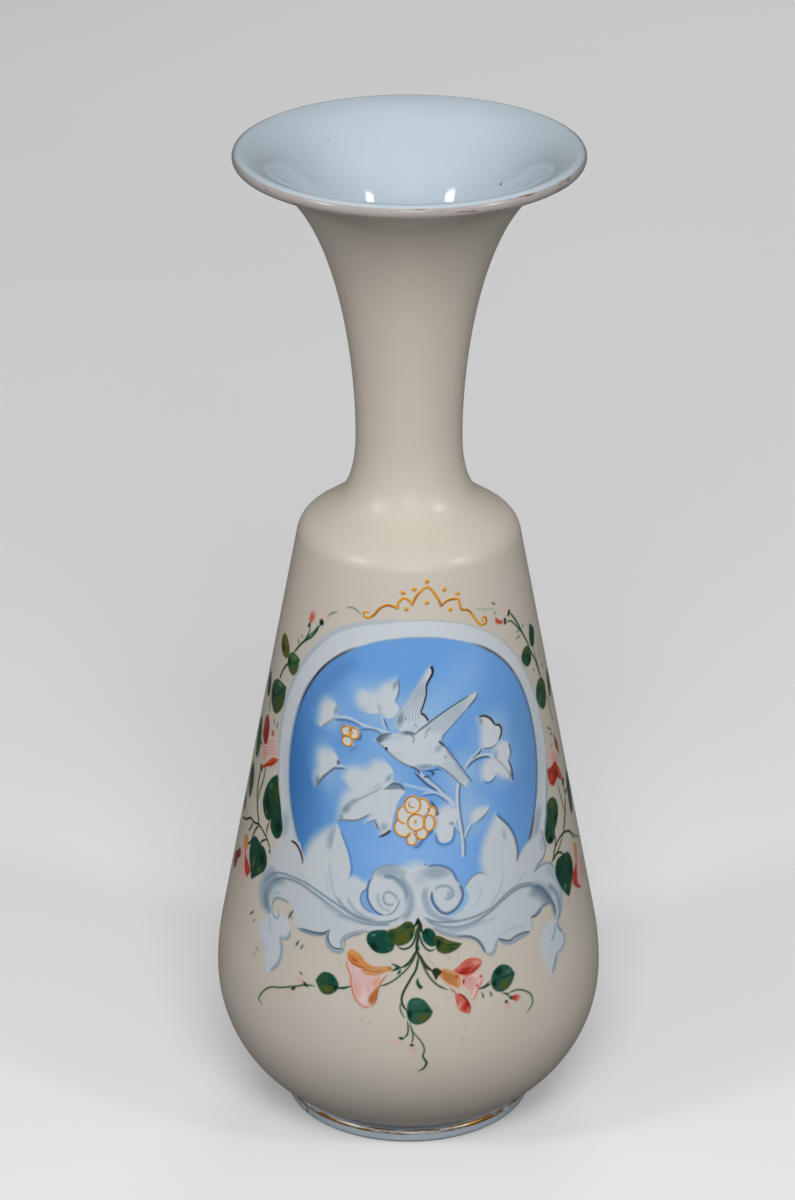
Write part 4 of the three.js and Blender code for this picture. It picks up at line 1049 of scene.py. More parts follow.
def bird():
    """The bird with its wings spread: far wing, body, near wing and tail, then its feet."""
    return [
        wash((a := places([8.2,210.2, None, 8.9,208.3, 6.6,202.6, 6.5,200, 4.3,192.2, None, 6,191, 7.3,188.8, None,
            2,184, -2,184.4, -5.4,189, -4.9,191.3, -3,194, -0.5,197.2, 5,206, 7.2,209.4])), WHITE, airy=(150, 1.3)),
        glow(-3.4, 189.6, 2.2, 5, 109, -14), glow(2.6, 186.4, 4.6, 2.2, 183),
        *combed([-4.4,187.4, -4,191, -1,195.6, 3,201.6, 6.8,208], [4.6,188, 4.2,192, 5.2,196, 6,200.6, 7.6,206], 7,
            0.22, 111, 0.58, 0.26, (2, 8)),
        line([-5.3,187.6, -5.2,190.4, -3.2,193.8, -0.6,197.3, 2.2,201.9, 7,209.2], 0.35, 142, fade=(1, 3)),
        line([-1.4,190.8, -0.9,189.4], 0.6, 118), line([2.2,188.4, 2.6,186.9], 0.7, 137),
        line(a[:5], 0.62, SOOT, 0.25, 0.4, 0.95, (1.2, 0.8), swell=[(0, 1.35), (0.25, 1.25), (0.5, 0.8), (1, 0.85)]),
        line(a[4:7], 0.75, BROWN, opacity=0.93, ends=(1.2, 0.8)),
        wash((b := places([-13.4,181.2, None, -12.5,181.7, -11.6,183, -8,184.2, -5,184, -1,185.5, 2.4,184.4, None,
            16,193.4, 23.5,196.7, 26.9,197.5, None, 26.4,195.4, 24.6,193.6, 16,185.7, 12.7,182.2, 12.4,180.8, None,
            12.8,179.9, 15,177.2, 17,174.2, 24.9,162.8, None, 23,163.6, 22.2,161.1, None, 20.2,163, 13,170,
            10.6,171.4, 8.5,170.5, -5,174.5, -10.3,179.2])), WHITE),
        wash([-12.9,181, -11.7,183.1, -6.6,184.3, -7.8,183, -9.6,181.2, -11.2,180.2], 93, edge=0.55, thick=0,
            clip=True),
        glow(-8.4, 182.4, 4, 1.8, 152, 30), glow(-0.6, 184.6, 4.6, 1.6, 79), glow(1.4, 184.2, 2, 1.6, 98),
        glow(-4, 182.6, 5, 2, 182, 10), glow(6, 171.2, 6.4, 1.7, 118), glow(11.2, 178, 2.2, 2.8, 144, -30),
        glow(-5.4, 176, 4.6, 1, 183, -42), glow(13.9, 174.4, 1, 1, 154, core=0.2),
        *combed([3.4,184.9, 8,188, 14,191.6, 20,194.6, 26,196.8], [11.6,182, 13.2,184, 17.4,187.8, 21.6,191.8,
            25.8,195.4], 7, 0.22, 117, 0.58, 0.26, (4, 10)),
        *combed([13.6,178.4, 17,173.6, 20.6,168.4, 24.4,163.4], [11.4,172, 14.6,169.4, 18.4,165.6, 22,161.8], 5, 0.24,
            131, 0.5, 0.28, (2, 4)),
        line([17.2,172.6, 24.6,163.2], 1.6, 167, 0.8, (2, 0), clip=True), line([5.6,184, 8.4,186.4], 0.35, 108),
        line([5.7,182.4, 6.6,183.4], 0.4, 114), line([6.2,183.2, 7.4,184.6], 0.3, 128),
        line([-5,176.8, -1.8,175.6], 0.3, 167), line(b[6:9], 0.5, 64),
        line([26.9,197.3, 26.6,195.7, 24.8,193.8, 22.2,191.6], 0.55, GRAPHITE),
        line([22.4,191.7, 16,185.7, 12.6,182, 12.3,180.6], 0.55, (92, 124, 164)),
        line([0.8,183.5, 1.8,182.6, 1.3,180.3], 0.35, 98),
        line([-12.1,180.2, -10.2,179.2, -8,177.1, -5,174.5, 3.6,170.3], 0.42, TAUPE),
        line([0.6,171.7, 2.4,170.6, 4,169], 0.45, BROWN), line([11.3,181, 13.8,178.2], 0.85, BROWN, ends=(0.9, 0.3)),
        line(b[15:19], 0.6, SLATE, ends=(0.8, 0.5)), line([13.4,178.6, 18,171.8], 0.3, TAUPE, 0.3, (0, 3), 0.6),
        line(b[20:24], 0.42, TAUPE), line([-13.8,181.5, -12.2,180.4], 0.35, 227),
        wash(oval((-8.6, 178.1), (0.5, 0.62), count=16), SOOT), line([3.8,170.6, 3.6,169.4, 4.4,168.4], 0.5, SOOT),
        line([8,170.2, 8.6,169.2, 9.4,168.1, 8.4,168], 0.6, SOOT), line([5.3,167, 7.4,167.5, 8.2,166.5], 0.42, BROWN),
        line([6.4,167.6, 6.2,166.6], 0.4, BROWN),
        line([5.6,169.7, 8.6,169.5, 11.2,169.9, 12.3,169.2], 0.5, (58, 84, 118)),
    ]


def large_grapes():
    """The larger bunch: pale insides with raised gold rings and arcs over them."""
    rings = [
        ((4.6, 155.6), (3.1, 3.4), -50, 112), ((8.4, 153.4), (1.9, 2.2), -40, 130),
        ((-1.2, 152.8), (3.3, 3.5), 110, 262), ((-1.7, 148), (3.8, 3.8), 128, 300),
        ((4.8, 145.6), (2.1, 2.4), 150, 372), ((1, 143.3), (1.9, 2.4), 110, 425), ((7.6, 149.4), (2, 3.1), 0, 360),
        ((2.7, 149.8), (3.2, 3.2), 0, 360), ((1.3, 156.7), (3, 3.3), 0, 360),
    ]
    marks = [
        line([8,158, 10.4,154, 11,151.8], 0.9, 58, 0.5, ends=(0.3, 0.8)),
        line([10.2,151, 10.4,149, 9.8,147], 1.1, BISQUE, 0.5),
        line([9.4,146.2, 7.2,144.6, 5.2,142.4, 3.6,140.4, 1.4,139.5], 1.1, SLATE, 0.6, ends=(0.7, 0.3)),
        line([3.6,142.4, 5.6,143.6, 7.4,145.8], 0.6, (176, 170, 160), 0.5, opacity=0.5),
    ]
    marks += [wash(oval(centre, radii, count=20), INSIDE, thick=0.012) for centre, radii, _, _ in rings]
    for ring in rings:
        marks += gold_ring(*ring)
    marks += [
        line([0.2,158, -0.1,156.9, 1.2,155.6, 2.1,155.9], 0.6, (206, 140, 46), 0.2, opacity=1, thick=0.2, full=True),
        line([2.4,150.8, 2.4,149.2], 0.9, GOLD, 0.2, 0.4, 1, (0.3, 0.3), taper=0.8, thick=0.25, full=True),
        dot(0.2, 145.4, 1.1, 0.8, (206, 136, 52), 20),
    ]
    return marks


def small_grapes():
    """The smaller bunch of three raised gold rings."""
    rings = [
        ((-24.2, 183), (2.1, 2)), ((-24, 179.4), (2.1, 2)), ((-21.2, 182.7), (2, 2.1)),
    ]
    marks = [
        line([-18.8,183.4, -19.2,180.8, -21,180.4], 0.9, (66, 104, 160), 0.5),
        line([-20.6,178.6, -21.6,176.8, -23.2,175.2], 0.5, SLATE, opacity=0.6),
        line([-21.2,178.8, -22,177.4], 0.8, 194, 0.5),
    ]
    marks += [wash(oval(centre, radii, count=16), INSIDE, thick=0.012) for centre, radii in rings]
    for ring in rings:
        marks += gold_ring(*ring, width=0.66)
    return marks


def gilt_crest():
    """The raised gold line over the medallion, browner in places."""
    path = places([-15.6,230.1, -17.2,229.6, -17.2,228.5, -15.6,227.9, -13.4,229.2, -11,232, -8.5,233.4, -6,233.2,
        -4.4,232.5, None, -4,234.5, -2,236.5, 0,235.6, 1.2,233.9, None, 2.5,236.8, 4.5,239.2, 6.7,240.5, 9,238.6,
        10.8,235.8, 12.2,232.9, None, 14,234.3, 17,234.9, 18.8,234.5, 19.6,232, 20.3,230.3, 22.5,229.8, 25,227.3,
        27,224.4, 29,222.6, 31.3,223, 31,224.7, 29.9,225.6, 29.1,224.6, 29.7,223.8])
    browner = [
        (3, 9), (12, 15), (17, 22), (22, 26), (27, 31),
    ]
    return [line(path, 0.84, GOLD, 0.16, 0.4, 1, (0.7, 0.7), thick=0.34, full=True),
            *[line(path[a:b], 0.6, GOLD_BROWN, 0.25, 1.5, 0.7, thick=0) for a, b in browner]]


BEADS = [(-2.3, 238.5), (1.9, 239.8), (6.7, 242.6), (13.3, 239), (18.7, 236.7), (-1, 232.3), (6.6, 234.5), (15.7, 231)]


def crest_bead(s, z):
    """A raised gold bead of the crest, with painted shade in brown below and right of its middle."""
    return [
        wash(oval((s, z), (0.85, 0.8), count=20), GOLD, thick=0.1),
        line([s - 0.01, z, s + 0.01, z], 1.3, (226, 158, 60), 0.2, 0.4, 1, (1, 1), thick=0.34, full=True),
        # painted shade: a brown patch below and right of the bead's middle
        glow(s + 0.2, z - 0.3, 0.6, 0.5, GOLD_BROWN, opacity=0.6),
    ]


def bouquet_greens():
    """The leaves, stems and buds of the bouquet under the medallion."""
    marks = [
        *leaf([-15.8,105, -11,106.3, -8.4,106.4, -6.8,104.2, -5.5,101.5, -6,99.5, -13,98, -15,99.8, -16.2,101.5],
            TEAL, [(-13.6, 100, 2.6, 3.4, DARK_GREEN, 40), (-8, 103.6, 2.6, 3, (40, 92, 82)), (-13.6, 104.6, 1.6, 0.8,
            (110, 140, 132), 20), (-7.4, 99.6, 2, 1.6, FERN)]),
        line([-14.6,106, -11,106.6, -8,106.7], 0.5, DARK_GREEN),
        *leaf([0.6,110.6, -1.4,110.5, -3,109.3, -5,108, -8,106.8, -8.5,105, -4.5,101, 0.5,102.8, 2.2,106.5,
            2.3,108.5], MOSS, [(-6.6, 105, 2.2, 2.6, GREEN, 20), (-0.4, 108.6, 2.6, 1.4, GREEN, 10), (-2.4, 104, 2.6,
            2.2, OLIVE), (1, 105, 1.2, 2.6, GREEN)]),
        *leaf([5.2,106.4, 6.5,107.8, 8,107.7, 10.8,103.5, 11,101.4, 9.5,100.4, 5.8,102.5], TEAL,
            [(9.8, 102, 1.4, 1.8, FERN), (6.6, 106.4, 1.4, 1.4, DARK_GREEN)], rib=[6,106.6, 8,104, 9.8,101.4]),
        *leaf([9.8,104.6, 12,104.3, 15,102.6, 20.8,100.5, None, 19,98.7, 13,97.3, 10.8,98.8, 10.2,101], MOSS,
            [(11.4, 101.4, 1.6, 2.8, DARK_GREEN), (16.4, 99, 3.4, 1.4, LEAF), (15, 101.4, 3, 1, (106, 112, 66), -20)],
            rib=[10.6,102.8, 14,101, 19.6,100.4]),
        stem([3.4,111.8, 2.8,109.6, 1.9,108.4], 1.1, DARK_GREEN),
        stem([3.6,111.6, 4.5,109, 4.8,107, 5.5,105.4], 1, DARK_GREEN),
        stem([3.6,110, 3.7,106, 3,100, 3.5,96.8], 1.1, BARK), dot(3.5, 100, 1.2, 1.6), dot(3.5, 110.6, 1.2, 1.6),
        stem([3,108, -0.5,100, -2.5,99.7, -4.4,100.9], 0.7, GREEN),
        stem([4.4,105, 5,102, 8.5,98.8, 10,99.4], 0.7, GREEN), stem([3.8,98, 7,92.3, 9.2,90.6], 1.2, BARK),
        stem([4,97, 11,85, 14.8,82.8], 0.7, MOSS), stem([3,99.5, -1.5,93, -3.2,92.2], 0.9, BARK),
        stem([3,98.5, 1.5,95, -3,89.5, -9,85.3, -11.6,84.4], 0.6, FERN), dash(-6.5, 93.6, -3.2, 92.4, 0.7, DARK_GREEN),
        dash(-6.5, 90.9, -3.4, 92.2, 0.7, DARK_GREEN), dot(-4.4, 92.1, 1.5, 1.1),
        dash(-3.2, 91.4, -4.2, 89.6, 1.2, TEAL), stem([3.6,97, 2.5,91, 0.8,88, -2.6,78, -0.6,74.8], 0.8, BARK),
        stem([-2.8,79, -3.4,76.5, -1.6,72.2], 0.5, FERN),
        *leaf([3.4,88.3, None, 2.7,86.5, 4.5,83.7, 5.4,84.4, 4.4,85.6], LEAF),
        *leaf([-0.7,76.5, -0.3,78.6, 1,80, 5.5,79.5, 7.5,77.3, 9.3,74.3, None, 8,71.9, 3,69.4, 1,70.1, -0.9,74],
            (50, 92, 78), [(5.4, 72, 4.4, 3, OLIVE, 20), (0.4, 73.6, 1.4, 3.2, DARK_GREEN),
            (3, 78.4, 3, 1.6, LIGHT_TEAL, -12), (7.2, 75.2, 1.6, 1.4, GREEN)], rib=[-0.6,74.5, 4,74.9, 9,74.4]),
        stem([-0.6,71, -1.5,64.2, -2.8,63.5], 0.55, LEAF), stem([0.2,70, 1.6,64.5, 1.2,61.4], 0.55, LEAF),
        *bud(-5.2, 62.2, 1.8, 1.2, 35, PINK), dash(-3.8, 64, -2.2, 63.3, 1.2, DARK_GREEN),
        *bud(1.9, 58.9, 1, 1.7, 20, (214, 172, 168)), dash(0.4, 60.8, 1.8, 60.6, 1.2, DARK_GREEN),
        line([1.3,67, 3,64.5, 4.7,62.3, 5.9,57.5, 5.4,56.2, 6.8,52.5, 5,49.6, 3.2,48.9], 0.75, LEAF, opacity=0.88,
            swell=[(0, 0.5), (0.5, 0.7), (0.72, 1.3), (0.88, 1), (1, 0.6)]),
        stem([-22.6,83.2, -26,81.9, -29.2,81.4], 0.8),
        *leaf([-37.6,82.6, None, -33.4,86.9, -30.4,86.6, -27.6,82.4, -31.2,78.4, -34,78], LEAF,
            [(-30.4, 84.4, 3, 2.2, TEAL, -20), (-32.6, 80.2, 4.6, 2.6, OLIVE, 10), (-35.6, 82.4, 2, 1.8, FERN), (-29,
            81.4, 1.4, 1.6, DARK_GREEN)], rib=[-28.4,82, -32,82.4, -36.8,82.6]),
        stem([-38,80.2, -42,79.5, -46,78, -55,74.6, -60,73, -65.5,68, -66.8,65.5, -64.8,64.3], 0.6, FERN),
        dash(-43.5, 80.6, -41.2, 79, 1.3, DARK_GREEN), *bud(-44.6, 80.9, 1.7, 1.1, 160, (216, 174, 170)),
        dash(-49, 75.8, -47, 77, 1.3, DARK_GREEN), *bud(-50, 74.6, 1.7, 1.2, 40, (216, 174, 170)),
        stem([27.2,81.3, 30,81.6, 33,82.4], 0.9, GREEN), stem([30,82, 32.5,83.4], 0.5),
        *leaf([43.5,83.6, None, 39.6,88.2, 36.6,88.8, 34,87.2, 33,81.4, 34.8,79, 37.6,78, 40.6,79], (49, 86, 78),
            [(36, 86.4, 2.8, 2.4, DARK_GREEN, 20), (39, 80.8, 4.6, 3, OLIVE, 20), (34.4, 82, 1.4, 2.4, DARK_GREEN),
            (40.6, 85.4, 2, 1.4, DUSTY_GREEN, -30)], rib=[33.4,83, 38,83.6, 43,84]),
        dash(28.9, 79.4, 29.6, 77.3), dash(32.4, 79.1, 33.1, 77.2), stem([37.8,77.6, 39.6,76.6, 41.2,75.2], 0.7),
        dash(41, 75, 42.8, 74, 1.6, DARK_GREEN), *bud(44, 73.9, 1.9, 1.2, -20, RED, (45, 73.4, PINK), 0.9),
        dash(39, 74, 40, 73, 1.4, DARK_GREEN), *bud(40.4, 71.6, 1.1, 1.6, 10, (216, 170, 166)),
        stem([40,76.6, 44,77, 49,75, 51.5,72.6, 52.1,70, 49.4,66.4], 0.6, FERN),
    ]
    faint = BISQUE
    marks += [dash(*place, 0.5, faint, 0.7) for place in ((-21, 58, -20.3, 57.2), (-18.3, 71, -18, 69.8),
        (-15.3, 70.2, -15.8, 69), (9.5, 76.5, 11.5, 75.6), (22, 68, 22.4, 66.5), (20, 62.4, 22.3, 61.5),
        (26.5, 60, 27.3, 59.3), (15, 97, 15.5, 94), (6.5, 98, 9.6, 92.8), (19, 97, 19.5, 94), (-28, 93, -27, 91.3),
        (14.3, 81, 15, 79))]
    marks += [dash(*place, 0.7, LEAF, 0.8) for place in ((-45.5, 96, -47, 93.5), (-43.5, 95, -44.5, 93),
        (-48.5, 107, -51, 103), (-45, 84, -43.6, 83.2))]
    return marks


def bouquet_left_flower():
    """The bouquet's left flower, a pale trumpet with an orange lip."""
    return [
        wash((b := places([-24,90.5, -22.9,88, -22.5,84, -19.6,77, -17.5,75.7, -15,75.9, -13,78, -12.2,81.5,
            -11.4,84.5, -8.2,89.6, -6.6,91.6, -10,92.6, -15,92.6, -20,94.2, -24,94.4])), PINK, 0.92, (80, 5, 0.03)),
        glow(-20.8, 83, 2.2, 6, PEACH, 10), glow(-17.6, 80, 2.2, 5, (234, 214, 208)),
        glow(-12.6, 86, 2, 4, (214, 150, 108), -30), glow(-9.6, 88.8, 2.2, 2.6, CHALK),
        *combed([-23,90, -21.6,84, -19,78], [-14,89, -14.4,84, -15.2,80], 5, 0.4, ROSE, 0.35, 0.5, (1, 2)),
        wash((a := places([-23.6,97, -22,97.9, -20,97, -15,92.6, -12.6,91.9, -16,91.2, -22,92.4, -23.9,94])), ORANGE,
            0.96, (-35, 5, 0.06)),
        glow(-21.4, 94, 3.4, 1.4, (172, 84, 46), -38), glow(-22, 96.8, 1.6, 1, (226, 168, 112)),
        line(a[4:], 0.5, (150, 70, 40)),
        wash([-18.6,90.2, -17,91.6, -13,92, -10,92.5, -7,92.4, -6.2,91.8, -9,90, -17,88.9], APRICOT, 0.9,
            (0, 5, 0.05), 0.4),
        line([-18,90.6, -14,90.2, -9,90.8], 0.4, RUST, opacity=0.6, clip=True),
        glow(-7.4, 92, 1.6, 0.9, (120, 96, 50)),
        wash([-12,84.2, None, -13.4,78, -15,77, -15.7,78.5, -14,82], TUBE, 0.9, edge=0.6),
        line([-24.4,93, -24,90.5, -22.9,88, -22.5,84, -19.6,77, -17.5,75.7, -15,75.9], 0.5, (200, 112, 84),
            (0.3, 0.7)),
        line(b[5:10], 0.45, TUBE),
    ]


def bouquet_right_flower():
    """The bouquet's right flower, with an orange tube and red petals."""
    return [
        wash((a := places([19,88.6, 22,89, 27,88, 29.2,86, 28.6,84, 27.2,81, 25.2,76.8, 24.4,79, 22,82, 19.4,83.5])),
            PINK, 0.92, (60, 5, 0.03), 0.32),
        *combed([20,84.4, 22.4,82.6, 24.6,78.6], [21,87.6, 25.4,86.4, 28.4,85], 6, 0.35, (204, 112, 104), 0.6, 0.35,
            (0.5, 1.5)),
        line(a[3:7], 0.45, CORAL),
        wash([11.2,90.2, 12.8,91.1, 17.5,89.6, 19.7,87.8, 19.2,82.9, 17,83.8, 12.4,87.7], APRICOT, 0.95, edge=0.35),
        *combed([12,90, 15.6,89.4, 19,87.4], [13,87.4, 15.8,85.4, 18.8,83.6], 4, 0.4, RUST, 0.7),
        glow(13.2, 90, 1.4, 1.2, TUBE), glow(18.6, 87.6, 1.4, 1.6, (190, 84, 62)),
        wash([17,90.2, None, 19.5,91.8, 21.5,93.5, 26.5,93.8, 28.8,92, 28.6,90.8, 26.5,88.7, 24,87.3], CORAL, 0.95,
            (10, 5, 0.08)),
        glow(22, 89.6, 4.4, 1.8, (150, 36, 30), 16), glow(26.6, 92, 3.2, 1.8, PEACH, -20),
        glow(19.6, 91, 2, 1, (222, 150, 140), 30, 0, 0.6), line([18.6,89.4, 23,88.4, 28,91], 0.45, CARMINE, clip=True),
        wash((b := places([18,80.5, 19.5,80.8, 21.5,79.1, 23.3,76.5, 24.3,73.8, 23.9,72.4, 20,73.8, 18.1,79])), CORAL,
            0.95, (60, 5, 0.06)),
        glow(22.4, 75.4, 1.8, 3.4, (150, 38, 32), -30), glow(19.6, 75.6, 1.4, 3, PEACH, -30),
        line(b[1:5], 0.7, CARMINE), line([15.8,83.4, 18.6,80.6], 0.5, RUST),
        dash(21.4, 86.2, 21.3, 84.4, 0.7, CARMINE, 0.85), dot(28.3, 86.1, 1, 0.9, (150, 34, 30)),
        dot(26.8, 82.7, 0.8, 0.9, DEEP_ROSE),
        wash([8.8,90.8, 10,91.9, 12.6,90, 11.6,88.7, 10.3,87.1, 9.6,88.6], BARK, 0.95),
    ]


def left_garland():
    """The left garland, from the tendrils at its top to the stems over the belly."""
    return [
        line([-33.7,224.2, -30,227, -28.5,227.2], 0.5, DUSTY_GREEN),
        line([-25,230, -22.5,230.6, -18.3,228.5], 0.5, (100, 132, 124)), *bud(-35.4, 223.9, 1.5, 1, 40, PINK),
        dot(-36.6, 221.4, 1.5, 1.9, DARK_GREEN, -30, 0.4, 0.95),
        *bud(-41.9, 222, 2.9, 1.3, 62, CORAL, (-41, 224.2, PINK), 0.9),
        dash(-44.2, 217.4, -42.9, 219.2, 1.3, DARK_GREEN), stem([-42.8,218.5, -43.5,215.5, -46,212], 0.5),
        stem([-53.3,204.3, -46,211.5, -42,214.3, -37.4,220.2], 0.7),
        stem([-46.5,211.5, -43,214.6, -40.4,217, -38.4,219.7], 0.4, TEAL), dash(-50.7, 210.8, -49.8, 209, 0.6),
        dash(-48.4, 213, -47.6, 212.2, 0.6),
        *leaf([-66.1,204.4, -64.8,207, -62,208.4, -57,205.2, -56.9,202.4, -58.6,200.4, -61.6,199.9], OLIVE,
            [(-63.4, 202.4, 3, 2.8, (22, 62, 54), 40), (-59, 206, 2, 1.4, (112, 116, 66), -30)], rib=[-65.6,204,
            -61,203.6, -57.2,203]),
        *leaf([-48.7,203.7, None, -54.6,204.2, -57,202.2, -57.7,199.2, -56.2,196.8, -53.2,195.9, -50.6,197.8], FERN,
            [(-56.4, 200.2, 1.8, 3, DARK_GREEN), (-52.4, 203, 2.6, 1.2, SAGE, -14), (-52.6, 197.8, 3, 1.6, OLIVE,
            10)], rib=[-57,199.6, -53,200.6, -49.2,203]),
        stem([-55.6,199.9, -60,196.5, -63.6,191.3], 0.8), stem([-62.8,192.6, -63.8,191], 1.1, DARK_GREEN),
        dash(-57.6, 193.8, -56.6, 192.4, 0.4, GREY_GREEN, 0.6),
        *leaf([-57.4,189.9, None, -61.5,190.2, -65,190, -72.1,184, -71.4,180, -66,176.8, -60,180.8], LEAF,
            [(-62.4, 182, 4.6, 4, (92, 90, 34), 40), (-69.4, 183, 2, 4, DARK_GREEN, -14), (-63, 188.8, 3.6, 1.2,
            (104, 146, 124)), (-65.4, 178.6, 3, 1.8, MOSS)], rib=[-71,181.8, -65,184, -58.8,188.8]),
        wash([-80.4,183.4, -79,187.4, -76.6,187.8, -74.4,184.6, -74.2,181, -76.4,178.8, -79.4,179.6], GREEN, 0.94),
        dot(-76, 180.6, 2.2, 1.8, OLIVE), stem([-72.6,180.2, -73,177.6, -72,175], 1.3, SAGE, 0.8),
        dash(-66, 174.5, -65.8, 172.3), dash(-62.2, 174.5, -63.5, 172.2),
        dot(-75.2, 152.2, 1.9, 1.8, DARK_GREEN, 0, 0.4, 0.95),
        stem([-75.3,151.4, -77.3,143, -75.5,137, -72.5,131.2], 1, DARK_GREEN),
        stem([-70.6,155.5, -70.8,152.5, -72,148.5, -75,142.5, -75.5,139.5], 0.7, LEAF),
        stem([-95.5,124.5, -87,127.5, -81.5,130.2, -77,130.4, -72.3,131.4, -69.5,130.7, -63.8,127, -62.8,125.2], 0.75,
            DARK_GREEN),
        dot(-63.3, 124.6, 1, 1.2), stem([-65.5,128.3, -67.5,127.6, -70.8,124.8], 0.7, DARK_GREEN),
        stem([-64.2,136, -66,132, -66,129.5], 0.8, MOSS),
        stem([-78,130.2, -80,128, -81.5,126, -83,125], 0.7, DARK_GREEN),
        stem([-72.5,130.8, -75,129, -77.3,125.5, -79,122.5, -81.5,120.5, -84.4,119.6], 0.8, BARK),
        *leaf([-60,155.6, None, -64,153, -70,144.5, -70.8,141, -67,136, -64.8,136, -63.5,137, None, -63.4,134,
            -59.5,131.2, -57,132.5, -55.7,135, -56.5,142, -59.2,152], GREEN, [(-66.6, 142, 4.2, 6, DARK_GREEN, 14),
            (-60.6, 148.6, 3, 6.4, (86, 84, 34), -14), (-58.4, 136, 3, 4, DARK_GREEN),
            (-64.6, 149.6, 2, 3, LIGHT_TEAL, -40), (-67, 138.4, 2, 1.6, FERN)], rib=[-63.4,136.8, -62,144, -60.2,154],
            veins=[([-62.6,142, -66,145], DUSTY_GREEN), ([-62.4,140, -58.6,142.4], OLIVE)]),
        *leaf([-75,126, -70,125, -67,124.6, -64.8,119, -66.5,116, -70,113.2, -76.4,108.8, None, -77,111, -79.8,117,
            -78,124], GREEN, [(-76, 122.6, 3, 3, TEAL), (-75.2, 116, 1.8, 4, OLIVE, -10), (-68.6, 120, 3, 3.6,
            DARK_GREEN), (-70, 115, 3.4, 1.6, OLIVE, 36)], rib=[-70.6,124.4, -72,118, -75.6,110.4]),
        *leaf([-80.6,165, -83.4,168, -86.8,166.4, -88.2,161, -87.4,155.6, -84.6,152.6, -81.4,154.4], LEAF,
            [(-85.6, 163, 2.6, 4, DARK_GREEN), (-83, 156, 3, 2.6, OLIVE)], rib=[-80,160, -84,160, -88,161]),
        stem([-83,158.5, -79.5,160.2, -77,160.3, -75.3,158.7], 0.6, DARK_GREEN),
        *leaf([-83.4,144, -85,147.6, -88.6,148.6, -91.8,146, -90.6,137, -87,135.9, -84.4,139], LEAF,
            [(-90, 144, 2.6, 4, DARK_GREEN), (-87, 138.6, 3, 2.2, OLIVE)], rib=[-84,143, -88,142.6, -92,142]),
        wash([-93,129, -93.2,133, -95,134.6, -96.2,128.6, -94.4,127.4], GREEN, 0.9),
        *[dash(*place, 0.5, SAGE, 0.7) for place in ((-88.6, 130.4, -87.4, 128.8), (-93, 123, -92, 121.4),
            (-73, 93.5, -71, 95.5), (-70.4, 85.4, -67.6, 84.4), (-71.6, 82, -69.8, 82.4), (-51, 106, -48.6, 103.4))],
        dash(-75.5, 95.5, -72.5, 98, 0.6, LEAF),
        line([-62,130, -60,129.4, -58,127.6], 0.35, (160, 166, 150), opacity=0.6),
    ]


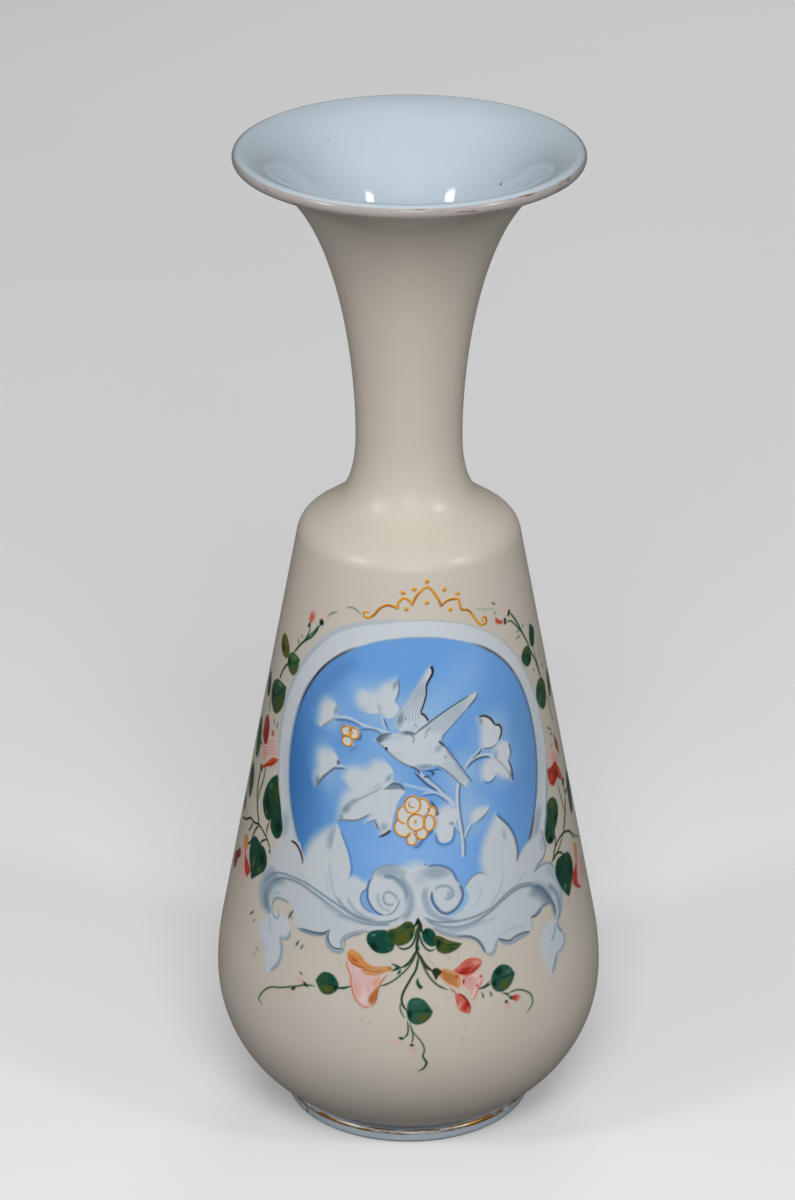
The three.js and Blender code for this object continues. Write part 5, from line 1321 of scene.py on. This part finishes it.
def right_garland():
    """The right garland, from the tendrils at its top to the stems over the belly."""
    return [
        line([26,229.7, 29,228.5, 33,227.5, 38,225.5], 0.35, GREY_GREEN, opacity=0.6),
        dash(34.5, 229.6, 36, 228.3, 0.6), dash(35.4, 225.6, 36, 224.8, 0.5), *bud(41, 224.7, 2, 1.3, -40, PINK),
        line([36,223.6, 37,221.8, 40.5,220.5], 1.5, RED), dot(38.6, 222.4, 1.8, 1, PINK, -30),
        *[dot(*place, 1.1, 1, core=0.3, opacity=0.95) for place in ((44, 223.2), (43.6, 222.2), (41.4, 221),
            (41.4, 219.8))],
        stem([44.4,222.8, 47,220, 55.5,208.5, 58,205.3], 0.7), stem([42,220, 45,219.3, 47.5,217.3, 52,212.5], 0.5),
        line([47.7,211, 49,211.7, 51.3,211.5], 0.4, GREEN), dash(48.6, 213.8, 50, 214, 0.4),
        dash(53.3, 215.5, 53.6, 213.8, 0.6), dash(60, 195.8, 60.6, 195, 0.5),
        line([68.8,194, 72,192.6], 0.5, DUSTY_GREEN),
        *leaf([60,212.9, None, 58.5,209, 60.5,204, 62,203.6, 64,206, 64.6,208.5], GREEN, [(62.6, 207, 1.6, 2.6, FERN,
            0)], rib=[60.6,204.4, 61,208, 60.2,212]),
        *leaf([50.9,203.4, None, 52.4,205.6, 55.4,206.3, 58,205, 58.4,199.4, 56,198.4, 51.8,201.2], LEAF,
            [(55, 204.8, 3, 1.4, OLIVE), (53.6, 201.4, 1.8, 1.8, (40, 96, 84)), (57.4, 200.4, 1.8, 2, DARK_GREEN)],
            rib=[59,201.6, 56,202.2, 52.4,203.8]),
        stem([58.5,203.8, 60,201.5, 62.5,198.5, 66,192, 67.6,189.6], 0.8),
        stem([61.5,203.6, 66,193], 0.4, (80, 104, 80)),
        wash([67,200, 68.6,202.2, 69.8,200, 69.4,197.6, 67.8,197], GREY_GREEN, 0.45, edge=0.5),
        *leaf([61.5,188, 63.5,189.8, 66.5,190, 71.4,186, 71.2,181, 70,178.8, 68,177.9, 62.4,181.5, 60.9,185], LEAF,
            [(66, 188.4, 4, 1.8, OLIVE, -10), (64, 182.4, 3, 3, LIGHT_TEAL, 40), (70.2, 181, 1.6, 3, DARK_GREEN), (69,
            186, 2, 2, MOSS)], rib=[63,186.6, 66.6,185.2, 71,182.6]),
        wash([76.2,183, 77.4,187.6, 79.6,188.2, 81.4,184.6, 81,179.6, 78.6,177.8, 76.6,179.6], GREEN, 0.94),
        dot(78.4, 180.4, 2.2, 2, OLIVE), stem([71.8,182.4, 74,178.5, 76.5,171.5, 79,168.5], 1, SAGE, 0.75),
        line([69,170.3, 74,167], 0.6, FERN), dash(71.5, 166.5, 74, 165.7, 0.5),
        dot(82.3, 144, 2, 2, DARK_GREEN, 0, 0.4, 0.95),
        stem([82.6,143, 83.6,139.3, 88,139, 91.4,138.3], 0.8, DARK_GREEN),
        stem([83,138.5, 78,128.5, 76.3,126.4], 1.5, OLIVE),
        stem([76.5,126.5, 74.5,125, 72,123, 66.3,120.8], 1.1, (112, 126, 92)),
        stem([75,147, 76,143.5, 77.5,140, 80,133], 0.5, LEAF),
        stem([66.8,120.5, 68,123.5, 73,126.3, 84,124, 88.9,119.3], 0.75, DARK_GREEN),
        stem([84,124.5, 92,118.8, 98.5,116], 0.8, SAGE),
        stem([65,119.7, 67,120.3, 70,121.4, 75,119, 77,114.5], 0.7, DARK_GREEN),
        stem([68.5,130, 69.2,127, 66.8,121.5], 0.7, GREEN),
        *leaf([64.4,143, 67,143.9, 72.5,140.5, 73.4,137.5, 70.6,132, 69.6,131, 68.6,128, 66.6,126.8, 64.4,127.2,
            61.5,131.5, 62.3,135, 63.5,139], LEAF, [(67.4, 141.4, 4, 3, OLIVE, -10), (70.4, 135, 3, 3.4,
            (30, 62, 38)), (63.4, 132.6, 2, 3.6, TEAL), (65.4, 128.6, 2.8, 1.8, (22, 22, 18))], rib=[66,142.6,
            66.6,136, 65.4,129]),
        *leaf([68,117, 69.5,119, 72.5,119.3, 76,118.9, 79,118.3, 83.6,112.5, 83.6,109.5, 82,106.5, 77.8,101.5, None,
            72,107], GREEN, [(71, 114, 3.4, 4, (18, 62, 56), 20), (81, 111, 2.8, 5, DARK_GREEN), (79.4, 105.4, 3, 2.4,
            OLIVE, 50), (75, 106.4, 2, 2, (82, 130, 116)), (77, 116.6, 3, 1.8, MOSS)], rib=[74,118.6, 77.4,112,
            78,103]),
        *leaf([88,136, 88.8,142, 91.4,144.6, 94.4,142, 95.6,136, 94.6,130, 91.6,127.8, 88.8,130.4], GREEN,
            [(93, 139, 2.6, 4, DARK_GREEN), (90.6, 131.4, 2.4, 2.6, OLIVE)], rib=[88.4,136, 92,136.4, 95.4,136]),
    ]


def left_upper_flower():
    """The upper flower of the left garland."""
    return [
        wash([-76.2,160, -75,155.4, -70,155.8, -64,158.6, -59.8,161.4, -61,165, -65,168.4, -70,168, -74.6,165.4],
            PINK, 0.9, (30, 5, 0.04), 0.35),
        glow(-72.6, 158.6, 3.2, 3, APRICOT),
        *combed([-74,157.6, -68,160, -61,162], [-74,163, -69,165.6, -64,167], 5, 0.3, SALMON, 0.5),
        wash([-76,171, -73,173.2, -70.6,171, -70.4,166, -71.8,162.6, -74.8,162, -77,163.6], (150, 42, 34), 0.95,
            (80, 5, 0.08)),
        glow(-75.6, 168.6, 1.8, 3, CORAL), glow(-72, 166, 1.4, 3, (104, 20, 18)),
        dot(-66.3, 169, 1.7, 1.5, DEEP_ROSE, core=0.3),
        wash([-75.2,152.8, -72,154.9, -68.5,157.4, -64.5,160.4, -59.8,161.4, None, -65,156.9, -69.5,155, -73,152.8],
            (196, 84, 50), 0.95),
        glow(-73.4, 154, 2.2, 1.4, (216, 156, 66), 30), line([-74.8,153, -69,155.6, -62,160], 0.4, CARMINE),
    ]


def left_lower_flower():
    """The lower flower of the left garland."""
    return [
        wash([-93,108, -91,104.2, -86,104.6, -82.4,108, -82.2,114, -83,118.6, -86,119.4, -90,117.4], PINK, 0.9,
            (80, 5, 0.04), 0.35),
        *combed([-91.6,106, -90.6,112, -88,118], [-84,106, -84,112, -84,118], 6, 0.3, SALMON, 0.5),
        wash([-87.4,118, -86.4,122, -83.6,122.8, -82.4,117.6, -84.8,116.6], ORANGE, 0.95),
        wash([-91,114.3, -96,111.6, -100,109.6, -102,105.5, -99,103.5, -97,104.5, -94,109, -90,113], CARMINE, 0.95,
            (40, 5, 0.08)),
        wash([-84.2,117.6, -83.5,115.8, -81.5,114.6, -79,113.1, -77.3,111.8, -78.5,110, -80.5,108.1, -82.1,108.6,
            -84.2,114], RED, 0.95, (-50, 5, 0.07)),
    ]


def right_upper_flower():
    """The upper flower of the right garland."""
    return [
        wash([67.8,157, 69,160, 72,160.8, 75.4,158.6, 79,155.4, 79.4,152, 77,150.8, 72,154], PINK, 0.9,
            (-30, 5, 0.04), 0.35),
        dot(72.2, 162, 1.8, 1.3, APRICOT, core=0.3),
        *combed([69,157, 73,155.6, 77,152.4], [71,160, 75,158, 78.6,154.4], 4, 0.3, SALMON, 0.55),
        line([76.2,165, 77.6,161.6, 79.6,158, 81.2,154.6], 2.7, CARMINE, opacity=0.95, taper=6, ends=(0.1, 0.2),
            thick=0.02),
        line([77.4,162.6, 80.6,156], 0.7, CORAL, 0.5, opacity=0.6),
        wash([66.7,155.5, 66.7,151, 68.8,148, 71.5,147.1, 75,148.4, 78,146.8, 81,145.1, 81.1,147, 77,152, 74.5,155,
            71,155.1, 68,154.8], DEEP_ROSE, 0.95, (-30, 5, 0.08)),
        glow(69, 151, 2, 3, CORAL), glow(74, 150.4, 3, 1.8, (110, 20, 18), -20),
        line([77.2,151.8, 81,145.6], 2, (196, 116, 72), opacity=0.92, ends=(0.5, 0.8)),
    ]


def right_lower_flower():
    """The lower flower of the right garland."""
    return [
        wash([88.8,111, 94,111.2, 99,108, 101.2,104, 102,100, 97,100.3, 91,99.8, 87.8,103], PINK, 0.9, (-20, 5, 0.04),
            0.35),
        *combed([89.4,104, 94,102.6, 100,101.4], [90,110, 95,109.4, 100,105.4], 6, 0.3, SALMON, 0.5),
        wash([88.3,117.6, 91,116.6, 90.2,110.4, 87.9,110.8, 87.6,114], ORANGE, 0.95),
        wash([88.6,110.6, 86,109.6, 83,108.1, 82.2,105.5, 84,103, 92,99.3, 87.8,102.8, 88,106], RED, 0.95,
            (60, 5, 0.07)),
    ]


# ---------------------------------------------------------------- the enamels as films over the ground

# What is painted, in the order in which it is laid: node, enamel, pitch of its grid, how many films it
# lies over and the function that gives its marks.
PLAN = [
    ("medallion_field", "blue", 0.55, 0, field), ("medallion_border", "white", 0.4, 1, border),
    ("left_scroll", "white", 0.32, 2, left_scroll), ("right_scroll", "white", 0.32, 3, right_scroll),
    ("left_garland", "green", 0.3, 4, left_garland), ("right_garland", "green", 0.3, 4, right_garland),
    ("bouquet_greens", "green", 0.28, 5, bouquet_greens), ("gilt_crest", "gold", 0.2, 2, gilt_crest),
    *[("crest_bead_%d" % number, "gold", 0.12, 3, partial(crest_bead, *bead)) for number, bead in enumerate(BEADS, 1)],
    ("left_vine_leaf", "white", 0.28, 4, left_vine_leaf), ("upper_vine", "white", 0.28, 4, upper_vine),
    ("broad_vine_leaf", "white", 0.28, 5, broad_vine_leaf), ("right_vine", "white", 0.28, 4, right_vine),
    ("lower_vine", "white", 0.28, 6, lower_vine), ("left_upper_flower", "red", 0.28, 6, left_upper_flower),
    ("left_lower_flower", "red", 0.28, 6, left_lower_flower),
    ("right_upper_flower", "red", 0.28, 6, right_upper_flower),
    ("right_lower_flower", "red", 0.28, 6, right_lower_flower),
    ("bouquet_left_flower", "orange", 0.28, 6, bouquet_left_flower),
    ("bouquet_right_flower", "red", 0.28, 6, bouquet_right_flower), ("bird", "white", 0.25, 7, bird),
    ("small_grapes", "gold", 0.2, 8, small_grapes), ("large_grapes", "gold", 0.2, 8, large_grapes),
]
FILM, FILM_STEP, FILM_GAP = 0.01, 0.016, 0.004  # a film's least thickness, the rise of each and the gap under it
LEAST_COVER = 0.004  # where a film ends
HAZE = 0.018  # light that the paint's gloss adds, which is taken off its colour again
SHINE = {"blue": 0.4, "white": 0.5, "green": 0.25, "red": 0.3, "orange": 0.3, "gold": 0.4}


def joined_cells(keep):
    """Cells that are kept, and those round a crossing where kept cells would touch by a corner only."""
    while True:
        a, b, c, d = keep[:-1, :-1], keep[1:, :-1], keep[1:, 1:], keep[:-1, 1:]
        touch = (a & c & ~b & ~d) | (b & d & ~a & ~c)
        if not touch.any():
            return keep
        for cell in (a, b, c, d):
            cell |= touch


def film_faces(keep):
    """Faces of a closed film over the kept cells of a grid: its top, its underside and its edges. The
    underside's vertices are numbered after the top's."""
    shape = keep.shape[0] + 1, keep.shape[1] + 1
    number = np.arange(shape[0] * shape[1]).reshape(shape)
    cells = np.stack([number[:-1, :-1], number[1:, :-1], number[1:, 1:], number[:-1, 1:]], -1)
    around = np.pad(keep, 1)
    beyond = around[1:-1, :-2], around[2:, 1:-1], around[1:-1, 2:], around[:-2, 1:-1]
    edges = []
    for k in range(4):
        first, second = cells[keep & ~beyond[k]][:, [k, (k + 1) % 4]].T
        edges.append(np.stack([second, first, first + number.size, second + number.size], 1))
    return np.concatenate([cells[keep], cells[keep][:, ::-1] + number.size, *edges])


def paint_films(*nodes):
    """The films of painted nodes: a grid of distances round the vase and heights, laid on the turned
    outline, with the paint's colour and cover at every vertex and its relief in the height."""
    outline = outside(sizes())
    across = beside(outline, 1.0) - outline
    tints = {key: colour(key) / np.array(COLOURS[key][2]) for key in SHINE}
    lot = [(node, enamel, make()) for node, enamel, _, _, make in PLAN]
    for (node, enamel, pitch, below, _), (_, _, marks) in zip(PLAN, lot):
        if node not in nodes:
            continue
        low = np.min([path.min(0) - reach for path, reach, *_ in marks], 0) - pitch
        high = np.max([path.max(0) + reach for path, reach, *_ in marks], 0) + pitch
        s, z = (np.arange(low[i], high[i] + pitch, pitch) for i in (0, 1))
        shade, cover, height, under, mine = painted(s, z, lot, node, colour("cream"), tints)
        laid = mine > LEAST_COVER
        keep = joined_cells(laid[:-1, :-1] | laid[1:, :-1] | laid[1:, 1:] | laid[:-1, 1:])
        radius, out, up = (np.interp(z, outline[:, 1], column) for column in (outline[:, 0], *across.T))
        turn = s[:, None] / radius
        sheets = []
        for lift in (FILM + height, under):
            lift = lift + FIT + GROUND + FILM_STEP * below + FILM_GAP
            reach = radius + lift * out
            sheets.append(np.stack([reach * np.sin(turn), -reach * np.cos(turn), z + lift * up], -1).reshape(-1, 3))
        used, faces = np.unique(film_faces(keep), return_inverse=True)
        faces = faces.reshape(-1, 4)
        mesh = make_piece("painted_" + node, np.concatenate(sheets)[used], faces.tolist(), paint(enamel + "_paint",
                          SHINE[enamel]), node=node, sharp=None).data
        deep = np.maximum(linear(shade) - HAZE * cover[..., None], 0.3 * linear(shade))
        rgba = np.concatenate([deep, cover[..., None]], -1).reshape(-1, 4)
        layer = mesh.color_attributes.new("paint", "FLOAT_COLOR", "POINT")
        layer.data.foreach_set("color", np.concatenate([rgba, rgba])[used].astype(np.float32).ravel())
        # The edges are left flat.
        flat = mesh.attributes.new("sharp_face", "BOOLEAN", "FACE")
        flat.data.foreach_set("value", np.arange(len(faces)) >= 2 * keep.sum())


# ---------------------------------------------------------------- the stage

def set_stage():
    """A pale sweep of floor and backdrop, soft lamps and the camera of the photograph."""
    scene = bpy.context.scene
    scene.view_settings.view_transform = "Standard"

    front, bend, height, half_width, round_ = -6.0, 2.2, 6.0, 7.0, 1.4
    run = join([(front, 0.0), (bend, 0.0)], arc((bend, round_), round_, -math.pi / 2, 0, 16), [(bend + round_, height)])
    vertices = [(x, y, z) for y, z in run for x in (-half_width, half_width)]
    k = np.arange(len(run) - 1) * 2
    sweep = bpy.data.meshes.new("studio_sweep")
    sweep.from_pydata(vertices, [], np.stack([k, k + 1, k + 3, k + 2], 1).tolist())
    floor = stand("studio_sweep", sweep)
    nodes = Nodes("pale_paper")
    pale = nodes.mix(nodes.noise(nodes.place(), 3.0), linear((0.88, 0.88, 0.88)), linear((0.9, 0.9, 0.895)))
    rays = nodes.add("ShaderNodeLightPath").outputs
    seen = nodes.maths("MAXIMUM", rays["Is Camera Ray"], rays["Is Transmission Ray"])
    bounced = nodes.mix(rays["Is Glossy Ray"], linear((0.5, 0.5, 0.5)), linear((0.4, 0.4, 0.4)))
    nodes.set(Base_Color=nodes.mix(seen, bounced, pale), Roughness=0.9, Emission_Color=(1.0, 1.0, 1.0, 1.0),
              Emission_Strength=nodes.maths("MULTIPLY", rays["Is Camera Ray"], 0.12))
    sweep.materials.append(nodes.material)
    sweep.shade_smooth()

    world = bpy.data.worlds.new("studio")
    scene.world = world
    world.use_nodes = True
    sky = world.node_tree.nodes["Background"].inputs
    sky["Color"].default_value, sky["Strength"].default_value = (0.95, 0.98, 1.0, 1.0), 0.2

    def lamp(name, place, aim, across, down, power):
        """A soft lamp at a place in metres, aimed at another, with its size in metres and its watts."""
        data = bpy.data.lights.new(name, "AREA")
        data.shape = "RECTANGLE"
        data.size, data.size_y, data.energy = across, down, power
        light = stand(name, data)
        light.location = place
        light.rotation_euler = (Vector(aim) - Vector(place)).to_track_quat("-Z", "Y").to_euler()
        return light

    lamp("overhead_softbox", (0.05, -1.6, 1.8), (0, 0, 0.3), 1.1, 0.9, 29.5).visible_glossy = False
    lamp("front_window_left", (-1.35, -0.85, 1.15), (0, 0, 0.25), 0.32, 0.28, 6.5)
    lamp("front_window_right", (1.35, -0.9, 1.15), (0, 0, 0.25), 0.26, 0.24, 5.5)
    lamp("front_softbox", (0.08, -2.0, 1.05), (0, 0, 0.25), 0.6, 0.4, 5.4)
    lamp("rear_softbox", (0.3, 1.9, 1.3), (0, 0, 0.2), 1.0, 0.8, 8.0).visible_glossy = False

    data = bpy.data.cameras.new("photo_camera")
    data.sensor_fit, data.sensor_height, data.lens = "VERTICAL", 36.0, 137.08
    data.clip_start, data.clip_end = 0.05, 30.0
    camera = stand("photo_camera", data)
    camera.location = (-0.0044, -1.6183, 0.9479)
    camera.rotation_euler = (math.radians(90 - 24.354), 0.0, 0.0)
    scene.camera = camera


# ---------------------------------------------------------------- operators and panel

class VaseOperator:
    """What the vase's operators have in common: each makes its pieces, by default the films of its nodes."""

    bl_options = {"REGISTER", "UNDO"}
    nodes = ()

    def execute(self, context):
        self.make()
        return {"FINISHED"}

    def make(self):
        paint_films(*self.nodes)


class VASE_OT_blow_body(VaseOperator, bpy.types.Operator):
    """Blow the body, neck and trumpet mouth"""

    bl_idname = "vase.blow_body"
    bl_label = "Blow the Body"
    make = staticmethod(blown_body)


class VASE_OT_apply_foot(VaseOperator, bpy.types.Operator):
    """Apply the pad foot"""

    bl_idname = "vase.apply_foot"
    bl_label = "Apply the Foot"
    make = staticmethod(pad_foot)


class VASE_OT_fire_ground(VaseOperator, bpy.types.Operator):
    """Fire the cream ground on"""

    bl_idname = "vase.fire_ground"
    bl_label = "Fire the Ground"
    make = staticmethod(ground_coat)


class VASE_OT_gild_edges(VaseOperator, bpy.types.Operator):
    """Gild the lip and the foot, and wear the gilding"""

    bl_idname = "vase.gild_edges"
    bl_label = "Gild the Edges"
    make = staticmethod(gilded_edges)


class VASE_OT_set_stage(VaseOperator, bpy.types.Operator):
    """Set up the floor, the backdrop, the lamps and the camera"""

    bl_idname = "vase.set_stage"
    bl_label = "Set the Stage"
    make = staticmethod(set_stage)


class VASE_OT_paint_medallion(VaseOperator, bpy.types.Operator):
    """Paint the blue field of the medallion and its white border"""

    bl_idname = "vase.paint_medallion"
    bl_label = "Paint the Medallion"
    nodes = ("medallion_field", "medallion_border")


class VASE_OT_paint_scrolls(VaseOperator, bpy.types.Operator):
    """Paint the two acanthus scrolls under the medallion"""

    bl_idname = "vase.paint_scrolls"
    bl_label = "Paint the Scrolls"
    nodes = ("left_scroll", "right_scroll")


class VASE_OT_paint_vines(VaseOperator, bpy.types.Operator):
    """Paint the vine leaves and stems of the medallion"""

    bl_idname = "vase.paint_vines"
    bl_label = "Paint the Vines"
    nodes = ("left_vine_leaf", "upper_vine", "broad_vine_leaf", "right_vine", "lower_vine")


class VASE_OT_paint_bird(VaseOperator, bpy.types.Operator):
    """Paint the white bird"""

    bl_idname = "vase.paint_bird"
    bl_label = "Paint the Bird"
    nodes = ("bird",)


class VASE_OT_lay_grapes(VaseOperator, bpy.types.Operator):
    """Lay the grapes in raised gold-coloured line"""

    bl_idname = "vase.lay_grapes"
    bl_label = "Lay the Grapes"
    nodes = ("small_grapes", "large_grapes")


class VASE_OT_lay_crest(VaseOperator, bpy.types.Operator):
    """Lay the scalloped crest and its beads in raised gold-coloured enamel"""

    bl_idname = "vase.lay_crest"
    bl_label = "Lay the Crest"
    nodes = ("gilt_crest", *["crest_bead_%d" % number for number in range(1, len(BEADS) + 1)])


class VASE_OT_paint_garlands(VaseOperator, bpy.types.Operator):
    """Paint the stems and leaves of the two side garlands"""

    bl_idname = "vase.paint_garlands"
    bl_label = "Paint the Garlands"
    nodes = ("left_garland", "right_garland")


class VASE_OT_paint_bouquet(VaseOperator, bpy.types.Operator):
    """Paint the bow of leaves and the sprays under the scrolls"""

    bl_idname = "vase.paint_bouquet"
    bl_label = "Paint the Bouquet"
    nodes = ("bouquet_greens",)


class VASE_OT_paint_flowers(VaseOperator, bpy.types.Operator):
    """Paint the trumpet flowers of the garlands and the bouquet"""

    bl_idname = "vase.paint_flowers"
    bl_label = "Paint the Flowers"
    nodes = ("left_upper_flower", "left_lower_flower", "right_upper_flower", "right_lower_flower",
             "bouquet_left_flower", "bouquet_right_flower")


OPERATORS = (
    VASE_OT_blow_body, VASE_OT_apply_foot, VASE_OT_fire_ground, VASE_OT_gild_edges, VASE_OT_paint_medallion,
    VASE_OT_paint_scrolls, VASE_OT_paint_garlands, VASE_OT_paint_bouquet, VASE_OT_lay_crest, VASE_OT_paint_vines,
    VASE_OT_paint_flowers, VASE_OT_paint_bird, VASE_OT_lay_grapes, VASE_OT_set_stage)


class VASE_PT_maker(bpy.types.Panel):
    """The steps in which the vase is made"""

    bl_label = "Opaline Vase"
    bl_idname = "VASE_PT_maker"
    bl_space_type = "VIEW_3D"
    bl_region_type = "UI"
    bl_category = "Vase"

    def draw(self, context):
        for operator in OPERATORS:
            self.layout.operator(operator.bl_idname)
        for group, keys in ((context.scene.vase_sizes, LENGTHS), (context.scene.vase_colours, COLOURS)):
            column = self.layout.column(align=True)
            for key in keys:
                column.prop(group, key)


CLASSES = (VaseSizes, VaseColours, *OPERATORS, VASE_PT_maker)


def register():
    for each in CLASSES:
        bpy.utils.register_class(each)
    bpy.types.Scene.vase_sizes = bpy.props.PointerProperty(type=VaseSizes)
    bpy.types.Scene.vase_colours = bpy.props.PointerProperty(type=VaseColours)


def unregister():
    del bpy.types.Scene.vase_colours
    del bpy.types.Scene.vase_sizes
    for each in reversed(CLASSES):
        bpy.utils.unregister_class(each)


def main():
    """Makes the vase and its stage by the operators in order."""
    register()
    for operator in OPERATORS:
        group, name = operator.bl_idname.split(".")
        getattr(getattr(bpy.ops, group), name)()


if __name__ == "__main__":
    main()
